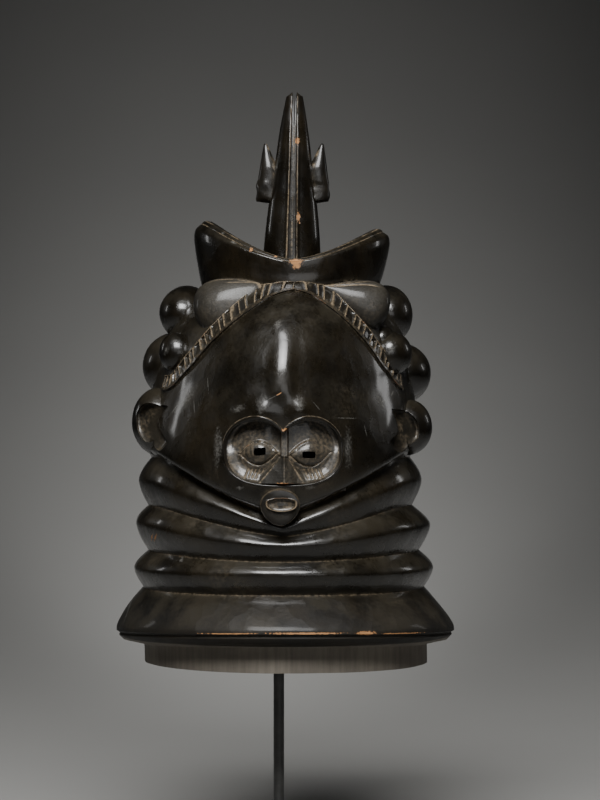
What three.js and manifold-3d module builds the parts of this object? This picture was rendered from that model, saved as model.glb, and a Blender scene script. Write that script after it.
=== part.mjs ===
import Module from "manifold-3d";
import * as THREE from "three";
import { mergeVertices } from "three/addons/utils/BufferGeometryUtils.js";

// A carved wooden helmet mask, hollow and open below, on a steel rod with a flat foot.
// Millimetres, +Z up, the face looks along -Y. Heights of the mask are above its own rim.

// Stand
const RIM_HEIGHT = 150;
const BASE_SIDE = 210;
const BASE_THICKNESS = 10;
const BASE_BEVEL = 1.5;
const ROD_RADIUS = 4;
const ROD_X = -5;
const ROD_HEAD_RADIUS = 14;
const ROD_HEAD_HEIGHT = 8;
const ROD_HEAD_GAP = 1.5;
const GAP = 0.3;

// Neck, from the foot of the collar up to the crease under the jaw. Each level has its height at
// the side and in front, its half width, its reach in front, and the form of its change in height
// towards the front: -1 for a wide even one, 0 for a round dip under the chin, 1 for a pointed one.
const NECK = [
  { side: 0, front: 0, width: 106.6, reach: 108, point: 0, shape: "start" },
  { side: 13.5, front: 20, width: 106.6, reach: 108, point: -1, shape: "edge" },
  { side: 17.5, front: 24.5, width: 122.5, reach: 125, point: -1, shape: "edge" },
  { side: 21.5, front: 28.5, width: 125.5, reach: 127, point: -1, shape: "edge" },
  { side: 24.6, front: 31.5, width: 128, reach: 130, point: -1, shape: "edge" },
  { side: 27.5, front: 34, width: 127.5, reach: 129.5, point: -1, shape: "edge" },
  { side: 56.5, front: 57, width: 106, reach: 107, point: 0, shape: "slope" },
  { side: 71, front: 72.5, width: 113, reach: 114, point: 0, shape: "ridge" },
  { side: 84, front: 81, width: 102, reach: 106.5, point: 0, shape: "crease" },
  { side: 104, front: 93, width: 111, reach: 113, point: 0, shape: "ridge" },
  { side: 118, front: 99, width: 99.5, reach: 106.5, point: 0.5, shape: "crease" },
  { side: 137, front: 104, width: 107, reach: 111, point: 1, shape: "ridge" },
];
const SAG_ANGLE = THREE.MathUtils.degToRad(65);
const EVEN_POWER = 1.3;
const RIM_TILT = 3;

// Jaw and hairline. The jaw falls from under the ears to the chin; behind the ears the same
// levels run on as the nape and the edge of the hair. Hairline and band are pairs of the turn from
// the front in degrees and the height there; the whole hairline is turned a little to the right.
const JAW_SIDE = 158;
const JAW_FRONT = 117;
const JAW_POINT = 0.5;
const JAW_UNDERCUT = 4;
const JAW_CREASE_WIDTH = 97.5;
const JAW_CREASE_REACH = 103;
const HAIRLINE = [
  [0, 277.6], [4, 276.5], [9, 274], [14.5, 269.5], [24.5, 256], [36, 238], [48.5, 218], [63, 204.5], [180, 204.5],
];
const HAIRLINE_TURN = THREE.MathUtils.degToRad(2.6);
const BAND_HEIGHT = [[0, 5.5], [12, 11.4], [22, 20.5], [28, 19.3], [38, 17.5], [50, 15.5], [60, 11], [180, 10]];
const BAND_RAISE = 2.2;
const BAND_EDGE = 0.4;
const BAND_FADES = THREE.MathUtils.degToRad(67);
const BAND_END = THREE.MathUtils.degToRad(72);

// Head: height, half width, reach in front, reach behind.
const HEAD = [
  [108, 99, 112, 100],
  [135, 100, 118, 101],
  [160, 101, 122, 103],
  [190, 101, 124, 106],
  [215, 97, 122, 107],
  [245, 89, 111, 101],
  [268, 76, 91, 87],
  [284, 60, 66, 67],
  [294, 46, 46, 50],
];
const CROWN_HEIGHT = 296;
const JAW_ROUNDING = 1.2;
const FACE_ROWS = [0.05, 0.2, 0.36, 0.52, 0.68, 0.84, 1];
const CROWN_ROWS = [0.3, 0.55, 0.78, 1];
const KEEL = { cheeks: 2.05, forehead: 1.58, from: 150, to: 215 };

// The carving wanders off a straight axis: height and the middle's distance to the right.
const MIDLINE = [
  [0, 0.5], [25, 0], [50, -1.3], [72, -1.1], [100, -1.3], [115, -3.7], [122, -4], [180, -2.7],
  [265, 1.5], [290, 4.2], [340, 5.4], [432, 7],
];

// Hair: two tiers of carved lobes, listed one by one because the carving isn't even. The two in
// front fan out from a narrow root at the parting to a round end; size is half height and half
// thickness. The others are egg shapes: middle, then half length, half thickness and half height,
// and the turn of the length about the vertical, in degrees from the x direction.
const FANS = [
  { root: [-17, -65.5, 281], end: [-59.5, -43.7, 251.6], size: [26, 24], blunt: 0.65 },
  { root: [28, -63.6, 281], end: [70.8, -40, 258.8], size: [21, 23.5], blunt: 1 },
];
const LOBES = [
  { middle: [-75, 14, 263], size: [33, 20.5, 21], turn: 83 },
  { middle: [76, 14, 262], size: [33, 20.5, 22.5], turn: 97 },
  { middle: [-80.5, -42, 232.5], size: [15, 13, 15.5], turn: 118 },
  { middle: [80, -43, 231.5], size: [17, 13, 16], turn: 62 },
  { middle: [-84.5, 20, 223], size: [39, 24, 25.5], turn: 83 },
  { middle: [86.5, 20, 217], size: [39, 24, 23.5], turn: 97 },
  { middle: [-36, 69, 263], size: [38, 20, 21], turn: 28 },
  { middle: [39, 69, 262], size: [38, 20, 21], turn: 152 },
  { middle: [-43, 85, 214], size: [46, 24, 29], turn: 27 },
  { middle: [44, 85, 212], size: [46, 24, 28], turn: 153 },
];

// Ears, left and right: middle and half sizes of the lobe and of the hollow in its front face.
const EARS = [
  { middle: [-95, -28, 181], size: [19.5, 20, 25], hollow: [-98, -51, 179], scoop: [13, 21, 19] },
  { middle: [92, -28, 176.5], size: [18, 20, 20.5], hollow: [87, -51, 174.5], scoop: [11, 21, 15.5] },
];

// Face: the sunk panel is two circles side by side, with the nose bar between them.
const PANEL_X = [-20.5, 18];
const PANEL_Z = 162;
const PANEL_RADIUS = 23.2;
const PANEL_BOTTOM = 135.8;
const PANEL_SQUARENESS = 2.7;
const PANEL_DEPTH = { top: 11, bottom: 5 };
const EYE_X = [-20.6, 17.6];
const EYE_Z = 159.5;
const EYE_HALF = { width: 14.6, height: 8, thickness: 5 };
const EYE_SUNK = 1.6;
const EYE_HOLE = { width: 8, height: 4.4 };
const NOSE = {
  x: -0.5, top: 178, bottom: 138.5, bridge: 3.2, base: 19, ridge: 1.6, brow: -117, tip: -121, depth: 11,
  flare: 0.45,
};
const MOUTH = { x: -3.5, top: 133, bottom: 107, half: 14, face: -124, depth: 24, bevel: 1.5 };
const LIPS = { z: 123, width: 10.5, height: 4.6, depth: 4 };

// Crest: a boat-shaped bowl with a split horn standing in it and a prong on each side of the horn.
// The bowl's lip dips in front and behind and rises to a point at each side. The horn's rows are
// height, half width and half depth.
const BOWL = {
  foot: 280, sunk: 6, dip: 298.2, rise: 30.8, tilt: 3, floor: 295,
  base: { width: 66, depth: 66 },
  mouth: { width: 74, depth: 68 },
  lip: 5, lipRounding: 6, dish: 0.62,
};
const HORN = [
  [290, 22.5, 20],
  [312, 21.4, 19],
  [346, 18.3, 16.5],
  [375, 14.2, 13.5],
  [397, 11.4, 10.4],
  [418, 7.9, 6.8],
  [428, 5.6, 4],
];
const HORN_TOP = 433;
const CHANNEL = { bottom: 298, width: 6.4, topWidth: 4.6, depth: 5, topDepth: 2.6 };
const SLOT = { from: 414, width: 2.2, topWidth: 6.6 };
const PRONG = {
  foot: 346, shoulder: 371, tip: 391, out: 27.5, shoulderOut: 25.6, tipOut: 22, half: 6.5, wide: 9, tapered: 4,
};

// Hollow inside the mask: height, half width, reach in front, reach behind.
const HOLLOW = [
  [-20, 92, 92, 92],
  [40, 91, 92, 93],
  [120, 88, 95, 90],
  [165, 87, 99, 91],
  [205, 86, 101, 91],
  [232, 76, 88, 80],
  [250, 54, 62, 58],
];
const HOLLOW_TOP = 258;

// Mesh fineness
const AROUND = 44;
const FRONT_CROWDING = 0.36;
const HOLLOW_AROUND = 24;
const FAN_AROUND = 12;
const FAN_STEPS = 6;
const BOWL_AROUND = 32;
const HORN_AROUND = 16;
const PRONG_AROUND = 10;
const PANEL_AROUND = 32;

const clamp01 = (value) => Math.min(1, Math.max(0, value));
const smooth = (from, to, value) => THREE.MathUtils.smoothstep(value, from, to);
const mix = THREE.MathUtils.lerp;

/** Smooth curve through rows of [position, value, value, ...], read at one position. */
function through(rows, position, column = 1) {
  const last = rows.length - 1;
  if (position <= rows[0][0]) return rows[0][column];
  if (position >= rows[last][0]) return rows[last][column];
  let i = 0;
  while (position > rows[i + 1][0]) i += 1;
  const slope = (a, b) => (rows[b][column] - rows[a][column]) / (rows[b][0] - rows[a][0]);
  const here = slope(i, i + 1);
  const level = (a, b) => (a * b <= 0 ? 0 : (2 * a * b) / (a + b));
  const start = i === 0 ? here : level(slope(i - 1, i), here);
  const finish = i + 1 === last ? here : level(here, slope(i + 1, i + 2));
  const span = rows[i + 1][0] - rows[i][0];
  const t = (position - rows[i][0]) / span;
  const t2 = t * t;
  const t3 = t2 * t;
  return (2 * t3 - 3 * t2 + 1) * rows[i][column] + (t3 - 2 * t2 + t) * span * start
    + (3 * t2 - 2 * t3) * rows[i + 1][column] + (t3 - t2) * span * finish;
}

/** Distance from the axis to an outline of half width w and reach d; below 2 the power makes a keel. */
function outline(angle, width, reach, power) {
  const across = Math.pow(Math.abs(Math.sin(angle)) / width, power);
  const along = Math.pow(Math.abs(Math.cos(angle)) / reach, power);
  return Math.pow(across + along, -1 / power);
}

/** Turn away from the front, never negative. */
function fromFront(angle) {
  return Math.abs(Math.atan2(Math.sin(angle), Math.cos(angle)));
}

/** Share of a level's change in height towards the front that is reached at this angle. */
function sag(angle, point) {
  const turn = fromFront(angle);
  const round = 1 - smooth(0, SAG_ANGLE, turn);
  const pointed = Math.pow(clamp01(1 - turn / SAG_ANGLE), 1.5);
  const even = Math.pow(clamp01(Math.cos(turn)), EVEN_POWER);
  return point < 0 ? mix(round, even, -point) : mix(round, pointed, point);
}

const isFront = (angle) => Math.cos(angle) > 0;
const midline = (height) => through(MIDLINE, height);
const jawHeight = (angle) => mix(JAW_SIDE, JAW_FRONT, sag(angle, JAW_POINT));
const keel = (height) => mix(KEEL.cheeks, KEEL.forehead, smooth(KEEL.from, KEEL.to, height));

function headRadius(angle, height) {
  const width = through(HEAD, height, 1);
  if (!isFront(angle)) return outline(angle, width, through(HEAD, height, 3), 2);
  return outline(angle, width, through(HEAD, height, 2), keel(height));
}

/** How far back the front of the head lies at a place x across and at a height. */
function faceDepth(x, height) {
  const across = Math.abs(x - midline(height)) / through(HEAD, height, 1);
  const power = keel(height);
  return -through(HEAD, height, 2) * Math.pow(1 - Math.pow(across, power), 1 / power);
}

function onSkin(angle, radius, height) {
  return [Math.sin(angle) * radius + midline(height), -Math.cos(angle) * radius, height];
}

/** Angles round the head, closer together in front. */
function anglesRound(count, crowding) {
  return Array.from({ length: count }, (_, i) => {
    const turn = (2 * Math.PI * i) / count;
    return turn - crowding * Math.sin(turn);
  });
}

/** Closed solid from rings of equal point counts, with a point closing each end. */
function solidFromRings(rings, first, last) {
  const count = rings[0].length;
  const positions = [...rings.flat(), first, last].flat();
  const foot = rings.length * count;
  const index = [];
  for (let i = 0; i < count; i += 1) {
    const next = (i + 1) % count;
    index.push(foot, next, i);
    for (let row = 0; row < rings.length - 1; row += 1) {
      const a = row * count;
      const b = a + count;
      index.push(a + i, a + next, b + next, a + i, b + next, b + i);
    }
    const top = (rings.length - 1) * count;
    index.push(foot + 1, top + i, top + next);
  }
  const geometry = new THREE.BufferGeometry();
  geometry.setAttribute("position", new THREE.Float32BufferAttribute(positions, 3));
  geometry.setIndex(index);
  return facingOut(geometry);
}

/** The same geometry with its faces turned to point out of the solid. */
function facingOut(geometry) {
  const at = geometry.attributes.position;
  const order = geometry.index.array;
  const corners = [new THREE.Vector3(), new THREE.Vector3(), new THREE.Vector3()];
  let volume = 0;
  for (let i = 0; i < order.length; i += 3) {
    corners.forEach((corner, k) => corner.fromBufferAttribute(at, order[i + k]));
    volume += corners[0].dot(corners[1].cross(corners[2]));
  }
  if (volume < 0) {
    for (let i = 0; i < order.length; i += 3) [order[i], order[i + 1]] = [order[i + 1], order[i]];
  }
  return geometry;
}

const wasm = await Module();
wasm.setup();

/** Closed three.js geometry as a solid that can be joined and cut. */
function toSolid(source) {
  const bare = source.clone();
  for (const name of ["normal", "uv"]) bare.deleteAttribute(name);
  const merged = mergeVertices(bare, 1e-4);
  return new wasm.Manifold(new wasm.Mesh({
    numProp: 3,
    vertProperties: Float32Array.from(merged.attributes.position.array),
    triVerts: Uint32Array.from(merged.index.array),
  }));
}

function toGeometry(solid) {
  const mesh = solid.getMesh();
  const geometry = new THREE.BufferGeometry();
  geometry.setAttribute("position", new THREE.BufferAttribute(mesh.vertProperties, 3));
  geometry.setIndex(new THREE.BufferAttribute(mesh.triVerts, 1));
  return geometry;
}

/** Rows of the neck between two levels, as [share, bulge] pairs: ridges round, creases sharp. */
const STEPS = {
  edge: [[1, 1]],
  slope: [[0.35, 0.28], [0.7, 0.63], [1, 1]],
  ridge: [[0.35, 0.5], [0.72, 0.9], [1, 1]],
  crease: [[0.28, 0.1], [0.62, 0.47], [1, 1]],
};

function neckRows(angles) {
  const row = (level, angle) => ({
    height: mix(level.side, level.front, sag(angle, level.point)),
    radius: outline(angle, level.width, level.reach, 2),
  });
  const foot = (angle) => ({
    height: (RIM_TILT * (1 - Math.sin(angle))) / 2,
    radius: row(NECK[0], angle).radius,
  });
  const rows = [angles.map(foot)];
  const creaseUnderJaw = (angle) => ({
    height: jawHeight(angle) - JAW_UNDERCUT,
    radius: outline(angle, JAW_CREASE_WIDTH, JAW_CREASE_REACH, 2),
  });
  for (let i = 1; i <= NECK.length; i += 1) {
    const from = (angle) => row(NECK[i - 1], angle);
    const to = i < NECK.length ? (angle) => row(NECK[i], angle) : creaseUnderJaw;
    for (const [share, bulge] of STEPS[i < NECK.length ? NECK[i].shape : "crease"]) {
      rows.push(angles.map((angle) => ({
        height: mix(from(angle).height, to(angle).height, share),
        radius: mix(from(angle).radius, to(angle).radius, bulge),
      })));
    }
  }
  return rows.map((points) => points.map((p, i) => onSkin(angles[i], p.radius, p.height)));
}

/** Rows of the head from the jaw over the hairline band to the crown. */
function headRows(angles) {
  const rows = [];
  const turned = (angle) => THREE.MathUtils.radToDeg(fromFront(angle - HAIRLINE_TURN));
  const hairline = (angle) => through(HAIRLINE, turned(angle));
  const bandTop = (angle) => hairline(angle) + through(BAND_HEIGHT, turned(angle));
  const crown = HEAD[HEAD.length - 1][0];
  const raised = (angle) => BAND_RAISE * (1 - smooth(BAND_FADES, BAND_END, fromFront(angle)));
  const add = (heightAt, extraAt = () => 0) => rows.push(angles.map((angle) => {
    const height = heightAt(angle);
    return onSkin(angle, headRadius(angle, height) + extraAt(angle), height);
  }));
  add(jawHeight, () => -JAW_ROUNDING);
  for (const share of FACE_ROWS) add((angle) => mix(jawHeight(angle), hairline(angle), share));
  add((angle) => hairline(angle) + BAND_EDGE, raised);
  add((angle) => bandTop(angle) - BAND_EDGE, raised);
  add(bandTop);
  for (const share of CROWN_ROWS) add((angle) => mix(bandTop(angle), crown, share));
  return rows;
}

function skin() {
  const angles = anglesRound(AROUND, FRONT_CROWDING);
  const rings = [...neckRows(angles), ...headRows(angles)];
  return solidFromRings(rings, [0, 0, RIM_TILT / 2], [midline(CROWN_HEIGHT), 0, CROWN_HEIGHT]);
}

function hollow() {
  const angles = anglesRound(HOLLOW_AROUND, 0);
  const rings = HOLLOW.map(([height, width, front, back]) => angles.map((angle) => {
    const radius = outline(angle, width, isFront(angle) ? front : back, 2);
    return [Math.sin(angle) * radius, -Math.cos(angle) * radius, height];
  }));
  return solidFromRings(rings, [0, 0, HOLLOW[0][0]], [0, 0, HOLLOW_TOP]);
}

/** A fanned hair lobe: an oval section carried from its root, fullest near its round end. */
function fan({ root, end, size, blunt }) {
  const from = new THREE.Vector3(...root);
  const to = new THREE.Vector3(...end);
  const along = to.clone().sub(from);
  const up = new THREE.Vector3(0, 0, 1);
  const out = new THREE.Vector3().crossVectors(along, up).normalize();
  up.crossVectors(out, along).normalize();
  const fullness = (s) => Math.pow(s, blunt) * Math.sqrt(1 - Math.pow(s, 3.2));
  const samples = Array.from({ length: 99 }, (_, i) => fullness((i + 1) / 100));
  const fullest = Math.max(...samples);
  const rings = [];
  for (let i = 1; i <= FAN_STEPS; i += 1) {
    const s = (1 - Math.cos((Math.PI * i) / (FAN_STEPS + 1))) / 2;
    const swell = fullness(s) / fullest;
    rings.push(Array.from({ length: FAN_AROUND }, (_, k) => {
      const turn = (2 * Math.PI * k) / FAN_AROUND;
      return from.clone().addScaledVector(along, s)
        .addScaledVector(up, Math.cos(turn) * size[0] * swell)
        .addScaledVector(out, Math.sin(turn) * size[1] * swell)
        .toArray();
    }));
  }
  return solidFromRings(rings, root, end);
}

function egg(middle, size, around = 14, steps = 9, turn = 0) {
  const geometry = new THREE.SphereGeometry(1, around, steps);
  geometry.rotateX(Math.PI / 2);
  geometry.scale(...size);
  geometry.rotateZ(THREE.MathUtils.degToRad(turn));
  geometry.translate(...middle);
  return geometry;
}

/** Bowl: rings from its foot up the side, over the lip and down to the dish inside. */
function bowl() {
  const { base, mouth } = BOWL;
  const rimHeight = (angle) => BOWL.dip + BOWL.rise * Math.pow(Math.abs(Math.cos(angle)), 1.5)
    - BOWL.tilt * Math.cos(angle);
  const ring = (width, depth, heightAt) => Array.from({ length: BOWL_AROUND }, (_, i) => {
    const angle = (2 * Math.PI * i) / BOWL_AROUND;
    const height = heightAt(angle);
    return [midline(height) + Math.cos(angle) * width, Math.sin(angle) * depth, height];
  });
  const crest = mouth.width - BOWL.lipRounding;
  const rings = [
    ring(base.width - 2 * BOWL.sunk, base.depth - 2 * BOWL.sunk, () => BOWL.foot - BOWL.sunk),
    ring(base.width, base.depth, () => BOWL.foot + 2),
    ring(mix(base.width, mouth.width, 0.5), mix(base.depth, mouth.depth, 0.5),
      (angle) => mix(BOWL.foot, rimHeight(angle), 0.5)),
    ring(mouth.width, mouth.depth, (angle) => rimHeight(angle) - 5),
    ring(mouth.width - 2, mouth.depth - 0.5, (angle) => rimHeight(angle) - 1.5),
    ring(crest, mouth.depth - 2, rimHeight),
    ring(crest - BOWL.lip, mouth.depth - 2 - BOWL.lip, (angle) => rimHeight(angle) - 1),
    ring(mouth.width * BOWL.dish, mouth.depth * BOWL.dish, (angle) => mix(BOWL.floor, rimHeight(angle), 0.25)),
  ];
  const middle = midline(BOWL.floor);
  return solidFromRings(rings, [middle, 0, BOWL.foot - BOWL.sunk], [middle, 0, BOWL.floor]);
}

function horn() {
  const rings = HORN.map(([height, width, depth]) => Array.from({ length: HORN_AROUND }, (_, i) => {
    const angle = (2 * Math.PI * i) / HORN_AROUND;
    return [midline(height) + Math.cos(angle) * width, Math.sin(angle) * depth, height];
  }));
  const end = (height) => [midline(height), 0, height];
  return solidFromRings(rings, end(HORN[0][0]), end(HORN_TOP));
}

/** Box-like cutter from four-cornered rings, each [height, half width, front, back]. */
function fourSided(levels) {
  const rings = levels.map(([height, half, front, back]) => [
    [midline(height) - half, front, height],
    [midline(height) + half, front, height],
    [midline(height) + half, back, height],
    [midline(height) - half, back, height],
  ]);
  const cap = (level) => [midline(level[0]), (level[2] + level[3]) / 2, level[0]];
  return solidFromRings(rings, cap(levels[0]), cap(levels[levels.length - 1]));
}

/** Channel down one face of the horn; side is -1 in front and 1 behind. */
function channel(side) {
  const outside = side * (HORN[0][2] + 5);
  const levels = HORN.map(([height, , depth]) => {
    const share = (height - HORN[0][0]) / (HORN_TOP - HORN[0][0]);
    const half = mix(CHANNEL.width, CHANNEL.topWidth, share) / 2;
    const floor = depth - mix(CHANNEL.depth, CHANNEL.topDepth, share);
    return [Math.max(height, CHANNEL.bottom), half, side * floor, outside];
  });
  levels.push([HORN_TOP + 10, CHANNEL.topWidth / 2, 0, outside]);
  return fourSided(levels);
}

/** Cutter for the notch that splits the horn's top in two. */
function slot() {
  const reach = HORN[0][2];
  return fourSided([
    [SLOT.from, SLOT.width / 2, -reach, reach],
    [HORN_TOP, SLOT.topWidth / 2, -reach, reach],
    [HORN_TOP + 5, SLOT.topWidth / 2 + 1, -reach, reach],
  ]);
}

/** Prong on one side of the horn: an upright fin with a pointed tip. */
function prong(side) {
  const section = (height, out, half) => Array.from({ length: PRONG_AROUND }, (_, i) => {
    const angle = (2 * Math.PI * i) / PRONG_AROUND;
    const across = side * (out - half + Math.cos(angle) * half);
    return [midline(height) + across, Math.sin(angle) * PRONG.half, height];
  });
  const { foot, shoulder, tip, out, shoulderOut, tipOut, wide, tapered } = PRONG;
  const rings = [
    section(foot, out, wide),
    section(mix(foot, shoulder, 0.3), out, wide - 0.5),
    section(shoulder, shoulderOut, wide - 1.5),
    section(mix(shoulder, tip, 0.5), mix(shoulderOut, tipOut, 0.5) + 0.8, tapered),
  ];
  const start = [midline(foot) + side * (out - wide), 0, foot + 2];
  return solidFromRings(rings, start, [midline(tip) + side * tipOut, 0, tip]);
}

/** Depth of the sunk panel's floor, which follows the face and is deepest under the brows. */
function panelFloor(x, height) {
  const share = clamp01((height - PANEL_BOTTOM) / (PANEL_Z + PANEL_RADIUS - PANEL_BOTTOM));
  return faceDepth(x, height) + mix(PANEL_DEPTH.bottom, PANEL_DEPTH.top, share);
}

/** Cutter for the sunk panel: two circles joined, flat below, with a floor that slopes. */
function panelCutter() {
  const rim = (turn) => {
    const direction = [Math.cos(turn), Math.sin(turn)];
    const centreX = (PANEL_X[0] + PANEL_X[1]) / 2;
    const apart = (PANEL_X[1] - PANEL_X[0]) / 2;
    const shift = direction[0] > 0 ? apart : -apart;
    const reachOut = direction[0] * shift;
    const round = reachOut + Math.sqrt(PANEL_RADIUS ** 2 - shift ** 2 + reachOut ** 2);
    const square = outline(turn, PANEL_Z - PANEL_BOTTOM, apart + PANEL_RADIUS, PANEL_SQUARENESS);
    const distance = direction[1] > 0 ? round : square;
    return [centreX + direction[0] * distance, PANEL_Z + direction[1] * distance];
  };
  const centre = [(PANEL_X[0] + PANEL_X[1]) / 2, PANEL_Z - 2];
  const turns = Array.from({ length: PANEL_AROUND }, (_, i) => (2 * Math.PI * i) / PANEL_AROUND);
  const ring = (scale, depthAt) => turns.map((turn) => {
    const [x, z] = rim(turn);
    const at = [mix(centre[0], x, scale), mix(centre[1], z, scale)];
    return [at[0], depthAt(...at), at[1]];
  });
  const outside = -HEAD[3][2] - 20;
  const rings = [
    ring(1, () => outside),
    ring(1, (x, z) => panelFloor(x, z) - 4),
    ring(0.95, panelFloor),
    ring(0.5, panelFloor),
  ];
  return solidFromRings(rings, [centre[0], outside, centre[1]], [centre[0], panelFloor(...centre), centre[1]]);
}

/** Nose: a narrow bar from between the brows that widens to a flat base. */
function nose() {
  const level = (share) => {
    const widening = Math.pow(clamp01((share - NOSE.flare) / (1 - NOSE.flare)), 1.3);
    const half = mix(NOSE.bridge, NOSE.base, widening);
    const height = mix(NOSE.top, NOSE.bottom, share);
    const front = mix(NOSE.brow, NOSE.tip, share);
    const back = front + NOSE.depth;
    return [
      [NOSE.x - half, back, height],
      [NOSE.x - NOSE.ridge, front, height],
      [NOSE.x + NOSE.ridge, front, height],
      [NOSE.x + half, back, height],
    ];
  };
  const rings = [0, NOSE.flare, 0.65, 0.85, 1].map(level);
  const end = (front, height) => [NOSE.x, front + NOSE.depth / 2, height];
  return solidFromRings(rings, end(NOSE.brow, NOSE.top), end(NOSE.tip, NOSE.bottom));
}

/** Block of the mouth: an egg-shaped outline, pointed towards the chin, carried back into the face. */
function mouthBlock() {
  const shape = new THREE.Shape();
  const { half, top, bottom, bevel } = MOUTH;
  const middle = (top + bottom) / 2 + 3;
  shape.moveTo(-half, middle);
  shape.bezierCurveTo(-half, middle + 7, -half * 0.5, top, 0, top);
  shape.bezierCurveTo(half * 0.5, top, half, middle + 7, half, middle);
  shape.bezierCurveTo(half, middle - 8, half * 0.5, bottom, 0, bottom);
  shape.bezierCurveTo(-half * 0.5, bottom, -half, middle - 8, -half, middle);
  const geometry = new THREE.ExtrudeGeometry(shape, {
    depth: MOUTH.depth - bevel, bevelThickness: bevel, bevelSize: bevel, bevelOffset: -bevel,
    bevelSegments: 1, curveSegments: 6,
  });
  geometry.rotateX(Math.PI / 2);
  geometry.translate(MOUTH.x, MOUTH.face + MOUTH.depth, 0);
  return geometry;
}

function helmetMask() {
  const lobes = LOBES.map(({ middle, size, turn }) => egg(middle, size, 12, 8, turn));
  const joined = [skin(), bowl(), horn(), prong(-1), prong(1), ...FANS.map(fan), ...lobes];
  let solid = joined.map(toSolid).reduce((whole, piece) => whole.add(piece));
  for (const ear of EARS) solid = solid.add(toSolid(egg(ear.middle, ear.size)));
  for (const ear of EARS) solid = solid.subtract(toSolid(egg(ear.hollow, ear.scoop, 14, 8)));
  for (const cutter of [channel(-1), channel(1), slot(), panelCutter()]) {
    solid = solid.subtract(toSolid(cutter));
  }
  solid = solid.add(toSolid(nose())).add(toSolid(mouthBlock()));
  for (const x of EYE_X) {
    const size = [EYE_HALF.width, EYE_HALF.thickness, EYE_HALF.height];
    solid = solid.add(toSolid(egg([x, panelFloor(x, EYE_Z) + EYE_SUNK, EYE_Z], size, 16, 8)));
  }
  const lipSize = [LIPS.width, LIPS.depth, LIPS.height];
  solid = solid.subtract(toSolid(egg([MOUTH.x, MOUTH.face, LIPS.z], lipSize, 14, 6)));
  for (const x of EYE_X) {
    const hole = new THREE.BoxGeometry(EYE_HOLE.width, 60, EYE_HOLE.height);
    hole.translate(x, -100, EYE_Z);
    solid = solid.subtract(toSolid(hole));
  }
  return toGeometry(solid.subtract(toSolid(hollow())));
}

/** Rod with a round head, as one turned profile. */
function standRod() {
  const top = RIM_HEIGHT + HOLLOW_TOP - ROD_HEAD_GAP;
  const foot = BASE_THICKNESS + GAP;
  const profile = [
    [0, foot],
    [ROD_RADIUS, foot],
    [ROD_RADIUS, top - ROD_HEAD_HEIGHT],
    [ROD_HEAD_RADIUS, top - ROD_HEAD_HEIGHT * 0.75],
    [ROD_HEAD_RADIUS, top - ROD_HEAD_HEIGHT * 0.5],
    [ROD_HEAD_RADIUS * 0.7, top - ROD_HEAD_HEIGHT * 0.2],
    [0, top],
  ].map(([radius, height]) => new THREE.Vector2(radius, height));
  const geometry = new THREE.LatheGeometry(profile, 16);
  geometry.rotateX(Math.PI / 2);
  return geometry;
}

function standBase() {
  const half = BASE_SIDE / 2 - BASE_BEVEL;
  const shape = new THREE.Shape();
  shape.moveTo(-half, -half);
  shape.lineTo(half, -half);
  shape.lineTo(half, half);
  shape.lineTo(-half, half);
  shape.closePath();
  const geometry = new THREE.ExtrudeGeometry(shape, {
    depth: BASE_THICKNESS - 2 * BASE_BEVEL, bevelThickness: BASE_BEVEL, bevelSize: BASE_BEVEL, bevelSegments: 1,
  });
  geometry.translate(0, 0, BASE_BEVEL);
  return geometry;
}

const wood = new THREE.MeshStandardMaterial({ color: 0x1d1712, roughness: 0.34, metalness: 0 });
const steel = new THREE.MeshStandardMaterial({ color: 0x151515, roughness: 0.5, metalness: 0.6 });

function piece(name, geometry, material, height = 0) {
  const mesh = new THREE.Mesh(geometry, material);
  mesh.name = name;
  mesh.position.z = height;
  return mesh;
}

const group = new THREE.Group();
const rod = piece("stand_rod", standRod(), steel);
rod.position.x = ROD_X;
group.add(piece("helmet_mask", helmetMask(), wood, RIM_HEIGHT), rod, piece("stand_base", standBase(), steel));

export default group;
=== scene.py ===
"""A carved wooden helmet mask on its rod, dressed and lit as in a studio photograph."""
import logging
from dataclasses import dataclass, field, replace
from enum import Enum
from functools import reduce
from typing import Sequence

import bpy
import numpy as np
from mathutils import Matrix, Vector


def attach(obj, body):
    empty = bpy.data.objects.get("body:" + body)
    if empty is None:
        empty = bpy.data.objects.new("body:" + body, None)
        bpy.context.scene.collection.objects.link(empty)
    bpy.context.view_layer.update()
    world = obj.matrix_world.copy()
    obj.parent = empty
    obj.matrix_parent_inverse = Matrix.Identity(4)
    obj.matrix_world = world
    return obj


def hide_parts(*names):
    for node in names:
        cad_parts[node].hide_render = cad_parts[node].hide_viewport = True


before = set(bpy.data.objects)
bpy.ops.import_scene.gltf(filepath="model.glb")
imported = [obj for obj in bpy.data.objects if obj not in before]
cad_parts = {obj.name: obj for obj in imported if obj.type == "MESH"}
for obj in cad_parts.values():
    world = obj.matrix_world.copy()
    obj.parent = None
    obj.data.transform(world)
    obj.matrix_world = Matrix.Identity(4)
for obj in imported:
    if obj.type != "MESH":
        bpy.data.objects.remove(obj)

Array = np.ndarray
Value = np.ndarray | float
Rows = Sequence[Sequence[float]]
Point = tuple[float, float, float]
Colour = tuple[float, float, float, float]
Socket = bpy.types.NodeSocket

LOG = logging.getLogger("helmet_mask")
MILLIMETRE = 0.001
RIM_HEIGHT = 150.0


def mix(low: Value, high: Value, share: Value) -> Array:
    """Value at a share of the way from low to high."""
    return low + (high - low) * share


def smooth(start: float, end: float, value: Array) -> Array:
    """Smoothstep: 0 up to start, 1 from end, and 3t² - 2t³ of the share t between them."""
    share = np.clip((value - start) / (end - start), 0.0, 1.0)
    return share * share * (3.0 - 2.0 * share)


def bell(distance: Array, width: float) -> Array:
    """Bell curve: e to the power of minus the square of distance over width."""
    return np.exp(-((distance / width) ** 2))


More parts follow.
